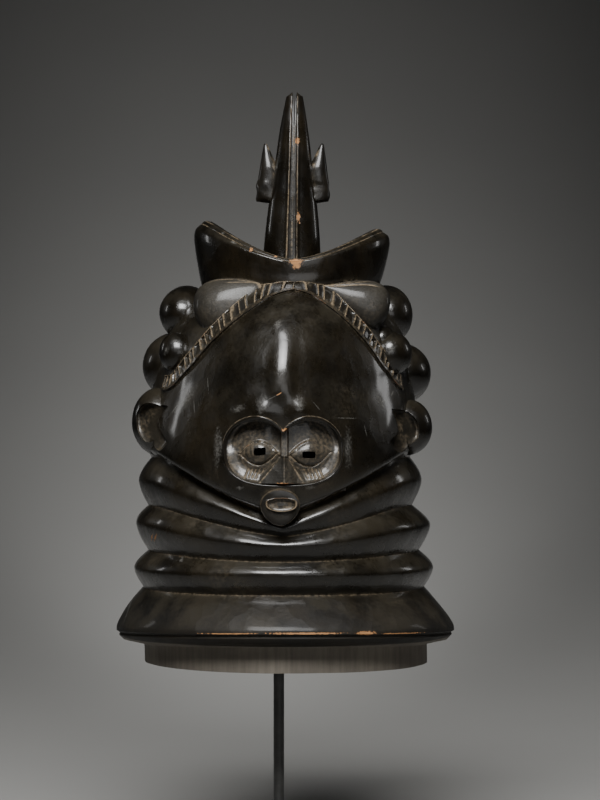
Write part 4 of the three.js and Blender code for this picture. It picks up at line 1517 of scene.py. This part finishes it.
class Nodes:
    """Small helper that adds nodes to a node tree and links them."""

    def __init__(self, tree: bpy.types.NodeTree) -> None:
        """Keeps the tree."""
        self.tree = tree

    def add(self, kind: str, inputs: dict | None = None, **settings) -> bpy.types.Node:
        """Adds a node.

        Args:
            kind: Node type without the ShaderNode prefix, or a full type name.
            inputs: Values or sockets for its inputs, by name or number.
            **settings: Properties of the node.

        Returns:
            The node.
        """
        name = kind if kind.startswith("Node") else "ShaderNode" + kind
        node = self.tree.nodes.new(name)
        for key, value in settings.items():
            setattr(node, key, value)
        for key, value in (inputs or {}).items():
            if isinstance(value, Socket):
                self.tree.links.new(value, node.inputs[key])
            else:
                node.inputs[key].default_value = value
        return node

    def math(self, operation: str, *values, clamp: bool = False) -> Socket:
        """Result of a Math node on values or sockets."""
        inputs = dict(enumerate(values))
        return self.add("Math", inputs, operation=operation, use_clamp=clamp).outputs[0]

    def times(self, *values, clamp: bool = False) -> Socket:
        """Product of two values."""
        return self.math("MULTIPLY", *values, clamp=clamp)

    def scaled(self, value, factor, more) -> Socket:
        """A value times a factor, plus more."""
        return self.math("MULTIPLY_ADD", value, factor, more)

    def pick(self, operation: str, values: Sequence) -> Socket:
        """Largest or smallest of several values, by the name of the operation."""
        return reduce(lambda one, other: self.math(operation, one, other), values)

    def noise(self, vector, scale: float, detail: float, rough: float) -> Socket:
        """Value of a Noise texture at a place."""
        inputs = {"Vector": vector, "Scale": scale, "Detail": detail, "Roughness": rough}
        return self.add("TexNoise", inputs).outputs["Fac"]

    def step(self, value, low: float, high: float, to: Sequence[float] = (0.0, 1.0)) -> Socket:
        """Maps a value smoothly from a range to another."""
        inputs = {"Value": value, "From Min": low, "From Max": high,
                  "To Min": to[0], "To Max": to[1]}
        return self.add("MapRange", inputs, interpolation_type="SMOOTHSTEP").outputs["Result"]

    def stretch(self, vector, scale: Point) -> Socket:
        """Places scaled along each axis."""
        return self.add("Mapping", {"Vector": vector, "Scale": scale}).outputs["Vector"]

    def blend(self, share, low, high) -> Socket:
        """Colour at a share of the way from low to high."""
        inputs = {"Factor": share, 6: low, 7: high}
        return self.add("Mix", inputs, data_type="RGBA").outputs[2]

    def surface(self, inputs: dict) -> None:
        """Ends a material with a Principled shader that has the given inputs."""
        shader = self.add("BsdfPrincipled", inputs)
        self.add("OutputMaterial", {"Surface": shader.outputs[0]})


def new_material(name: str) -> tuple[bpy.types.Material, Nodes, Socket]:
    """Starts a material, with the helper of its nodes and its Object coordinates."""
    made = bpy.data.materials.new(name)
    made.use_nodes = True
    made.node_tree.nodes.clear()
    nodes = Nodes(made.node_tree)
    return made, nodes, nodes.add("TexCoord").outputs["Object"]


def new_group(name: str, inputs: dict[str, float | None], outputs: Sequence[str]) -> tuple:
    """Starts a shader node group.

    Args:
        name: Its name.
        inputs: Names of its inputs with their plain values, None for a vector.
        outputs: Names of its outputs, all plain values.

    Returns:
        The group, its helper, and its input and output nodes.
    """
    group = bpy.data.node_groups.new(name, "ShaderNodeTree")
    for key, value in inputs.items():
        kind = "NodeSocketVector" if value is None else "NodeSocketFloat"
        socket = group.interface.new_socket(key, in_out="INPUT", socket_type=kind)
        if value is not None:
            socket.default_value = value
    for key in outputs:
        group.interface.new_socket(key, in_out="OUTPUT", socket_type="NodeSocketFloat")
    nodes = Nodes(group)
    return group, nodes, nodes.add("NodeGroupInput").outputs, nodes.add("NodeGroupOutput").inputs


def residue_group() -> bpy.types.NodeTree:
    """Pale residue: thick where it has gathered, thin on surfaces that face up, broken by noise."""
    group, n, given, out = new_group(
        "residue", {"Place": None, "Gathered": 0.0, "Up": 0.0, "Film": 0.5}, ("Thick", "Thin"))
    fine = n.noise(given["Place"], 420, 4, 0.62)
    broad = n.noise(given["Place"], 38, 3, 0.5)
    raised = n.times(given["Gathered"], n.step(fine, 0.3, 0.62, (0.45, 1.2)))
    group.links.new(n.step(raised, 0.18, 0.85), out["Thick"])
    patches = n.step(n.scaled(fine, 0.35, broad), 0.52, 0.82)
    facing = n.step(given["Up"], -0.1, 0.85)
    film = n.times(n.times(patches, facing), given["Film"])
    uneven = n.times(given["Gathered"], n.step(fine, 0.25, 0.7, (0.55, 1.2)))
    group.links.new(n.math("ADD", uneven, film, clamp=True), out["Thin"])
    return group


def rubbed_group() -> bpy.types.NodeTree:
    """Edges rubbed down to brown wood, broken up by noise."""
    group, n, given, out = new_group(
        "rubbed", {"Place": None, "Edge": 0.0, "Amount": 0.5}, ("Mask",))
    fine = n.noise(given["Place"], 520, 3, 0.6)
    broad = n.noise(given["Place"], 60, 3, 0.5)
    patchy = n.times(given["Edge"], n.step(n.scaled(fine, 0.5, broad), 0.74, 1.0))
    group.links.new(n.times(n.step(patchy, 0.12, 0.6), given["Amount"]), out["Mask"])
    return group


def knife_group() -> bpy.types.NodeTree:
    """Height of the carver's knife marks: shallow scallops, fine streaks and pores."""
    group, n, given, out = new_group(
        "knife_marks", {"Place": None, "Size": 110.0}, ("Height", "Streaks"))
    squat = n.stretch(given["Place"], (1, 1, 0.7))
    cells = n.add("TexVoronoi", {"Vector": squat, "Scale": given["Size"]})
    scallop = n.math("POWER", cells.outputs["Distance"], 2.0)
    streak = n.noise(n.stretch(given["Place"], (1, 1, 0.1)), 900, 3, 0.6)
    pores = n.noise(given["Place"], 1500, 2, 0.5)
    total = n.scaled(streak, 0.12, scallop)
    group.links.new(n.scaled(pores, 0.07, total), out["Height"])
    group.links.new(streak, out["Streaks"])
    return group


@dataclass(frozen=True)
class CarvedWood:
    """Dark oiled wood, glossy except on the collar, which is matt, greyish brown and grained."""

    wear: Wear
    # Painted shade: near-black colour laid into the band's pits.
    pit: Colour = (0.0018, 0.0014, 0.0010, 1)
    dark: Colour = (0.0032, 0.0025, 0.0015, 1)
    brown: Colour = (0.0145, 0.0105, 0.0052, 1)
    film: Colour = (0.039, 0.033, 0.022, 1)
    residue: Colour = (0.19, 0.145, 0.092, 1)
    rubbed: Colour = (0.20, 0.085, 0.030, 1)
    bare: Colour = (0.40, 0.20, 0.082, 1)
    # Pale grey of dry wood and scratches, also laid on as painted sheen and painted glints.
    dry_and_sheen: Colour = (0.17, 0.165, 0.15, 1)
    grain: Colour = (0.022, 0.018, 0.014, 1)
    collar: Colour = (0.165, 0.145, 0.117, 1)
    gloss: tuple[float, float] = (0.2, 0.4)
    matt: float = 0.72
    coat: float = 0.82
    coat_roughness: float = 0.13
    refraction: float = 1.54
    specular: float = 0.32
    relief: tuple[float, float] = (0.55, 0.0008)
    front: float = -6.0
    collar_top: float = 20.5
    flange_top: float = 74.0

    def worn(self, n: Nodes, place: Socket, torn: Socket, strokes: Rows, soft: float,
             ragged: float) -> Socket:
        """Mask of strokes on the front: each is a long ellipse about its line, torn by noise.

        Args:
            n: Helper of the material's node tree.
            place: Object coordinates.
            torn: Noise about zero.
            strokes: The strokes, as the wear lists them.
            soft: Width of the edge, as a share of the half width.
            ragged: How far the noise moves the edge.

        Returns:
            The mask, from 0 to 1.
        """
        far = []
        for x, z, x2, z2, half in strokes:
            middle = ((x + x2) / 2 * MILLIMETRE, 0.0, ((z + z2) / 2 + RIM_HEIGHT) * MILLIMETRE)
            length = float(np.hypot(x2 - x, z2 - z) / 2 + half)
            turn = (0.0, float(-np.arctan2(z2 - z, x2 - x)), 0.0)
            inside = n.add("Mapping", {
                "Vector": place, "Location": middle, "Rotation": turn,
                "Scale": (length * MILLIMETRE, 10.0, half * MILLIMETRE),
            }, vector_type="TEXTURE").outputs[0]
            far.append(n.add("VectorMath", {0: inside}, operation="LENGTH").outputs["Value"])
        edge = n.scaled(torn, ragged, n.pick("MINIMUM", far))
        return n.math("DIVIDE", n.math("SUBTRACT", 1.0, edge), soft, clamp=True)

    def material(self, groups: dict[str, bpy.types.NodeTree]) -> bpy.types.Material:
        """Builds the material.

        Args:
            groups: The shared node groups by name.

        Returns:
            The material.
        """
        made, n, place = new_material("carved_wood")

        def group(name: str, **inputs) -> bpy.types.bpy_prop_collection:
            return n.add("Group", {"Place": place, **inputs}, node_tree=groups[name]).outputs

        axes = n.add("SeparateXYZ", {0: place}).outputs
        up = n.add("SeparateXYZ", {0: n.add("NewGeometry").outputs["Normal"]}).outputs["Z"]
        crease, edge, gathered, dryness_and_sheen, matt = (
            n.add("Attribute", attribute_name=name).outputs["Fac"]
            for name in ("crease", "edge", "residue", "dryness_and_sheen", "matt"))
        collar_top, flange_top = ((RIM_HEIGHT + level) * MILLIMETRE
                                  for level in (self.collar_top, self.flange_top))
        in_front = n.math("LESS_THAN", axes["Y"], self.front * MILLIMETRE)
        torn = n.math("SUBTRACT", n.noise(place, 560, 3, 0.6), 0.5)
        wear = self.wear
        # Chips are bare wood; the scratch and dry strokes and the dryness attribute are partly real
        # wear, partly painted glints and painted sheen.
        kinds = (wear.chips, 0.4, 2.4), (wear.scratches_and_glints, 0.8, 2.2), (wear.dry_and_sheen, 1.0, 2.2)
        chip, scratch_and_glint, dry_and_sheen = (n.times(self.worn(n, place, torn, *kind), in_front) for kind in kinds)
        dry_and_sheen = n.math("MAXIMUM", dry_and_sheen, dryness_and_sheen)
        low = n.math("LESS_THAN", axes["Z"], collar_top)
        high = n.math("SUBTRACT", 1.0, low)
        # Painted shade in the band's pits, where the residue is below zero; they are also made
        # matt.
        painted_pit_shade = n.times(gathered, -1.4, clamp=True)
        gathered = n.math("MAXIMUM", gathered, n.times(crease, 0.55))
        residue = group("residue", Gathered=n.times(gathered, high), Up=up, Film=0.5)
        rubbed = n.times(group("rubbed", Edge=edge, Amount=0.5)["Mask"], high)
        knife = group("knife_marks", Size=95.0)

        tone = n.step(n.noise(place, 22, 4, 0.6), 0.38, 0.72)
        streaked = n.times(tone, n.step(knife["Streaks"], 0.3, 0.7, (0.5, 1.0)))
        colour = n.blend(streaked, self.dark, self.brown)
        grain = n.noise(n.stretch(place, (1, 1, 0.07)), 260, 4, 0.65)
        fade = n.times(n.step(grain, 0.25, 0.7, (0.72, 1.1)),
                       n.step(n.noise(place, 30, 3, 0.5), 0.3, 0.7, (0.7, 1.0)))
        speck = n.step(n.noise(place, 760, 3, 0.65), 0.3, 0.75)
        # Pale specks of dry wood and painted sheen.
        dust_and_sheen = n.times(dry_and_sheen, speck)
        layers = (
            (low, n.blend(fade, self.grain, self.collar)),
            (n.times(residue["Thin"], high), self.film),
            (residue["Thick"], self.residue),
            (rubbed, self.rubbed),
            (painted_pit_shade, self.pit),
            (n.times(dust_and_sheen, 0.7), self.dry_and_sheen),
            (n.times(scratch_and_glint, 0.6), self.dry_and_sheen),
            (chip, self.bare),
        )
        for share, over in layers:
            colour = n.blend(share, colour, over)

        polish = n.step(n.noise(place, 70, 4, 0.6), 0.3, 0.75, self.gloss)
        dull = n.pick("MAXIMUM", [
            residue["Thick"], chip, matt, n.times(residue["Thin"], 0.4), n.times(dry_and_sheen, 0.55),
            n.step(axes["Z"], collar_top, flange_top, (0.95, 0.0)), painted_pit_shade])
        lift = n.scaled(chip, -0.5, knife["Height"])
        lift = n.scaled(n.math("MAXIMUM", residue["Thick"], dust_and_sheen), 0.3, lift)
        lift = n.scaled(n.noise(place, 330, 5, 0.7), 0.55, lift)
        strength, distance = self.relief
        bump = n.add("Bump", {"Strength": strength, "Distance": distance, "Height": lift})
        n.surface({
            "Base Color": colour,
            "Normal": bump.outputs["Normal"],
            "IOR": self.refraction,
            "Roughness": n.add("Mix", {"Factor": dull, 2: polish, 3: self.matt}).outputs[0],
            "Specular IOR Level": self.specular,
            "Coat Weight": n.scaled(dull, -self.coat, self.coat),
            "Coat Roughness": self.coat_roughness,
        })
        return made


@dataclass(frozen=True)
class StandSteel:
    """Satin black steel with a faint unevenness."""

    colour: Colour = (0.05, 0.05, 0.048, 1)
    worn: Colour = (0.09, 0.088, 0.083, 1)

    def material(self) -> bpy.types.Material:
        """Builds the material."""
        made, n, place = new_material("stand_steel")
        patches = n.noise(place, 60, 4, 0.6)
        fine = n.noise(place, 1400, 2, 0.5)
        bump = n.add("Bump", {"Strength": 0.25, "Distance": 0.0002, "Height": fine})
        n.surface({
            "Base Color": n.blend(n.step(patches, 0.4, 0.75), self.colour, self.worn),
            "Roughness": n.step(patches, 0.3, 0.7, (0.36, 0.5)),
            "Normal": bump.outputs["Normal"], "Metallic": 0.3,
        })
        return made


@dataclass
class HelmetMask:
    """The whole carving, worked from its sub-assemblies into one solid."""

    form: HeadForm = field(default_factory=HeadForm)
    hair: Hair = field(default_factory=Hair)
    ears: Ears = field(default_factory=Ears)
    wear: Wear = field(default_factory=Wear)
    smooth_to: float = 38.0

    def build(self) -> bpy.types.Object:
        """Joins all forms, cuts the hollows, and marks the wear.

        Each step has a name, its shells, whether they are added or cut, and how matt they are.

        Returns:
            The object, which replaces the mask's node.
        """
        head = self.form.shell()
        band, face, horn = HairlineBand(self.form), SunkFace(self.form), SplitHorn(self.form)
        prongs = [SideProng(side).shell(self.form) for side in (-1, 1)]
        head.residue = band.film(head.points)
        solid = head.to_object("carved_helmet_mask")
        steps: list[tuple[str, list[Shell], Joining, float]] = [
            ("hairline band", [band.shell()], Joining.ADD, 0.35),
            ("crest bowl", [CrestBowl(self.form).shell()], Joining.ADD, 0.0),
            ("split horn", [horn.shell()], Joining.ADD, 0.0),
            ("side prongs", prongs, Joining.ADD, 0.4),
            ("front fans", self.hair.front(), Joining.ADD, 0.65),
            ("hair lobes", self.hair.round_about(), Joining.ADD, 0.1),
            ("ears", self.ears.shells(), Joining.ADD, 0.1),
            ("ear hollows", self.ears.hollows(), Joining.CUT, 0.5),
            ("horn's slot", [horn.slot()], Joining.CUT, 0.6),
            ("sunk panel", [face.cutter()], Joining.CUT, 0.4),
            ("face", [face.relief()], Joining.ADD, 0.4),
            ("line round the panel", [face.bead()], Joining.ADD, 0.1),
            ("mouth", [Mouth().shell()], Joining.ADD, 0.3),
            ("eye holes", face.eye_holes(), Joining.CUT, 1.0),
        ]
        for name, shells, joining, matt in steps:
            for shell in shells:
                work_in(solid, replace(shell, matt=matt), joining)
            LOG.info("%s worked in: %d faces", name, len(solid.data.polygons))
        self.wear.mark(solid)
        return shade(solid, self.smooth_to)


@dataclass
class Stand:
    """Steel rod with a round head inside the mask, and its square foot."""

    rod_x: float = -5.0
    radius: float = 4.0
    head_radius: float = 14.0
    head_top: float = 406.5
    head_height: float = 8.0
    foot_side: float = 210.0
    foot_height: float = 10.0
    foot_bevel: float = 1.5
    squareness: float = 40.0
    corner_cut: float = 4.0
    gap: float = 0.3
    around: tuple[int, int] = (64, 160)
    smooth_to: float = 30.0

    def rod(self) -> bpy.types.Object:
        """Turned rod: a profile of radius and height carried round its axis."""
        thin, wide, top = self.radius, self.head_radius, self.head_top
        foot, neck = self.foot_height + self.gap, self.head_top - self.head_height
        radius, height = np.array([
            [thin - 0.6, foot], [thin, foot + 0.6], [thin, 60], [thin, 200], [thin, 340],
            [thin, neck - 1.2], [thin + 0.4, neck - 0.4], [thin + 1.4, neck],
            [wide - 1.2, neck + 1.6], [wide - 0.2, neck + 2.3], [wide, neck + 3.2],
            [wide - 0.2, neck + 4.1], [wide - 3.8, top - 1.5], [thin + 1.4, top - 0.4],
        ]).T[..., None]
        angle = full_turn(self.around[0])
        rings = stacked(self.rod_x + radius * np.cos(angle), radius * np.sin(angle), height)
        return self.finished("turned_rod", rings, (self.rod_x, 0, foot), (self.rod_x, 0, top))

    def foot(self) -> bpy.types.Object:
        """Square plate with softened corners: rings of one outline, drawn in at both faces."""
        angle = full_turn(self.around[1])
        half, bevel, tall = self.foot_side / 2, self.foot_bevel, self.foot_height
        square = outline(angle, 1.0, 1.0, self.squareness)
        turn = np.linspace(0, np.pi / 2, 5)
        low, high = bevel * (1 - np.cos(turn)), bevel * (1 - np.sin(turn))
        inset = np.concatenate([[60, 20], high, low, [20, 60]])[:, None]
        level = np.concatenate([[0, 0], low, tall - high, [tall, tall]])[:, None]
        reach = np.minimum((half - inset) * square, np.hypot(half, half) - inset - self.corner_cut)
        rings = stacked(reach * np.cos(angle), reach * np.sin(angle), level)
        return self.finished("foot_plate", rings, (0, 0, 0), (0, 0, tall))

    def finished(self, name: str, rings: Array, first: Point, last: Point) -> bpy.types.Object:
        """Makes an object of rings given above the ground, smooth except at its corners."""
        shell = Shell.from_rings(rings, first, last)
        shell.points = shell.points - [0, 0, RIM_HEIGHT]
        return shade(shell.to_object(name), self.smooth_to)


@dataclass(frozen=True)
class SoftLight:
    """Rectangular studio light: place, point it looks at, size, power and spread in degrees."""

    name: str
    place: Point
    target: Point
    size: tuple[float, float]
    power: float
    spread: float

    def build(self) -> None:
        """Adds the light, turned towards its target."""
        data = bpy.data.lights.new(self.name, "AREA")
        data.shape = "RECTANGLE"
        data.size, data.size_y = self.size
        data.energy = self.power
        data.spread = float(np.radians(self.spread))
        lamp = add_object(self.name, data)
        lamp.location = self.place
        look = Vector(self.target) - Vector(self.place)
        lamp.rotation_euler = look.to_track_quat("-Z", "Y").to_euler()


@dataclass
class Studio:
    """Pale sweep of paper, soft lights and the camera, in metres."""

    camera_place: Point = (0.011, -2.0, 0.347)
    lens: float = 118.98
    paper: Colour = (0.36, 0.356, 0.342, 1)
    surround: float = 0.035
    flat_from: float = -3.5
    flat_to: float = 0.6
    reach: tuple[float, float] = (3.4, 2.6)
    wall: float = 1.5
    half_width: float = 4.0
    below: float = 0.0005
    lights: tuple[SoftLight, ...] = (
        SoftLight("key", (-0.14, -1.36, 1.60), (0, 0, 0.36), (1.3, 0.8), 9.8, 62),
        SoftLight("left_edge", (-1.075, 0.434, 0.67), (0, 0, 0.36), (0.1, 0.3), 0.1, 100),
        SoftLight("right_edge", (1.075, 0.434, 0.67), (0, 0, 0.36), (0.1, 0.3), 0.1, 100),
        SoftLight("fill", (0.5, -1.9, 0.45), (0, 0, 0.34), (1.2, 0.6), 0.9, 100),
        SoftLight("backdrop", (-0.02, 0.2, 0.22), (-0.07, 2.5, 0.42), (0.2, 0.2), 2.5, 40),
    )

    def sweep(self) -> bpy.types.Object:
        """Floor and backdrop in one: level past the mask, then a quarter ellipse and a wall."""
        turn = np.linspace(0, np.pi / 2, 60)
        back, top = self.reach
        y = self.flat_to + back * np.sin(turn)
        y = np.concatenate([[self.flat_from], y, [self.flat_to + back]])
        z = np.concatenate([[0.0], top * (1 - np.cos(turn)), [top + self.wall]]) - self.below
        grid = stacked(np.array([-self.half_width, self.half_width]), y[:, None], z[:, None])
        rows = np.arange(len(y) - 1)[:, None] * 2
        mesh = bpy.data.meshes.new("sweep")
        mesh.from_pydata(grid.reshape(-1, 3).tolist(), [], (rows + [0, 1, 3, 2]).tolist())
        mesh.shade_smooth()
        return add_object("sweep", mesh)

    def sweep_material(self) -> bpy.types.Material:
        """Matt paper with a faint mottling."""
        made, n, place = new_material("studio_paper")
        darker = tuple(0.93 * v for v in self.paper[:3]) + (1,)
        colour = n.blend(n.noise(place, 3, 2, 0.5), darker, self.paper)
        n.surface({"Base Color": colour, "Roughness": 0.9, "Specular IOR Level": 0.1})
        return made

    def build(self) -> None:
        """Sets up paper, lights, a dim even surround and the camera."""
        paper = self.sweep()
        paper.data.materials.append(self.sweep_material())
        for light in self.lights:
            light.build()
        world = bpy.data.worlds.new("studio")
        world.use_nodes = True
        surround = world.node_tree.nodes["Background"].inputs
        surround["Color"].default_value = (0.5, 0.5, 0.5, 1)
        surround["Strength"].default_value = self.surround
        bpy.context.scene.world = world
        data = bpy.data.cameras.new("camera")
        data.lens = self.lens
        data.sensor_width = 36.0
        camera = add_object("camera", data)
        camera.location = self.camera_place
        camera.rotation_euler = (np.pi / 2, 0, 0)
        bpy.context.scene.camera = camera


def corners(box: tuple) -> list[list[float]]:
    """The two corners of a box as plain lists."""
    return [[round(float(v), 6) for v in corner] for corner in box]


def main() -> None:
    """Builds the mask, its stand and the studio, and reports each piece."""
    logging.basicConfig(level=logging.INFO, format="%(message)s")
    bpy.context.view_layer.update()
    groups = {"residue": residue_group(), "rubbed": rubbed_group(), "knife_marks": knife_group()}
    mask, stand = HelmetMask(), Stand()
    wood, steel = CarvedWood(mask.wear).material(groups), StandSteel().material()
    pieces = (
        (mask.build(), "helmet_mask", "carved_wood", wood),
        (stand.rod(), "stand_rod", "stand_steel", steel),
        (stand.foot(), "stand_base", "stand_steel", steel),
    )
    for piece, node, slot, material in pieces:
        piece.data.materials.clear()
        piece.data.materials.append(material)
        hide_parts(node)
        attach(piece, "root")
        LOG.info("%s stands for %s: %d faces", piece.name, node, len(piece.data.polygons))
    Studio().build()


if __name__ == "__main__":
    main()
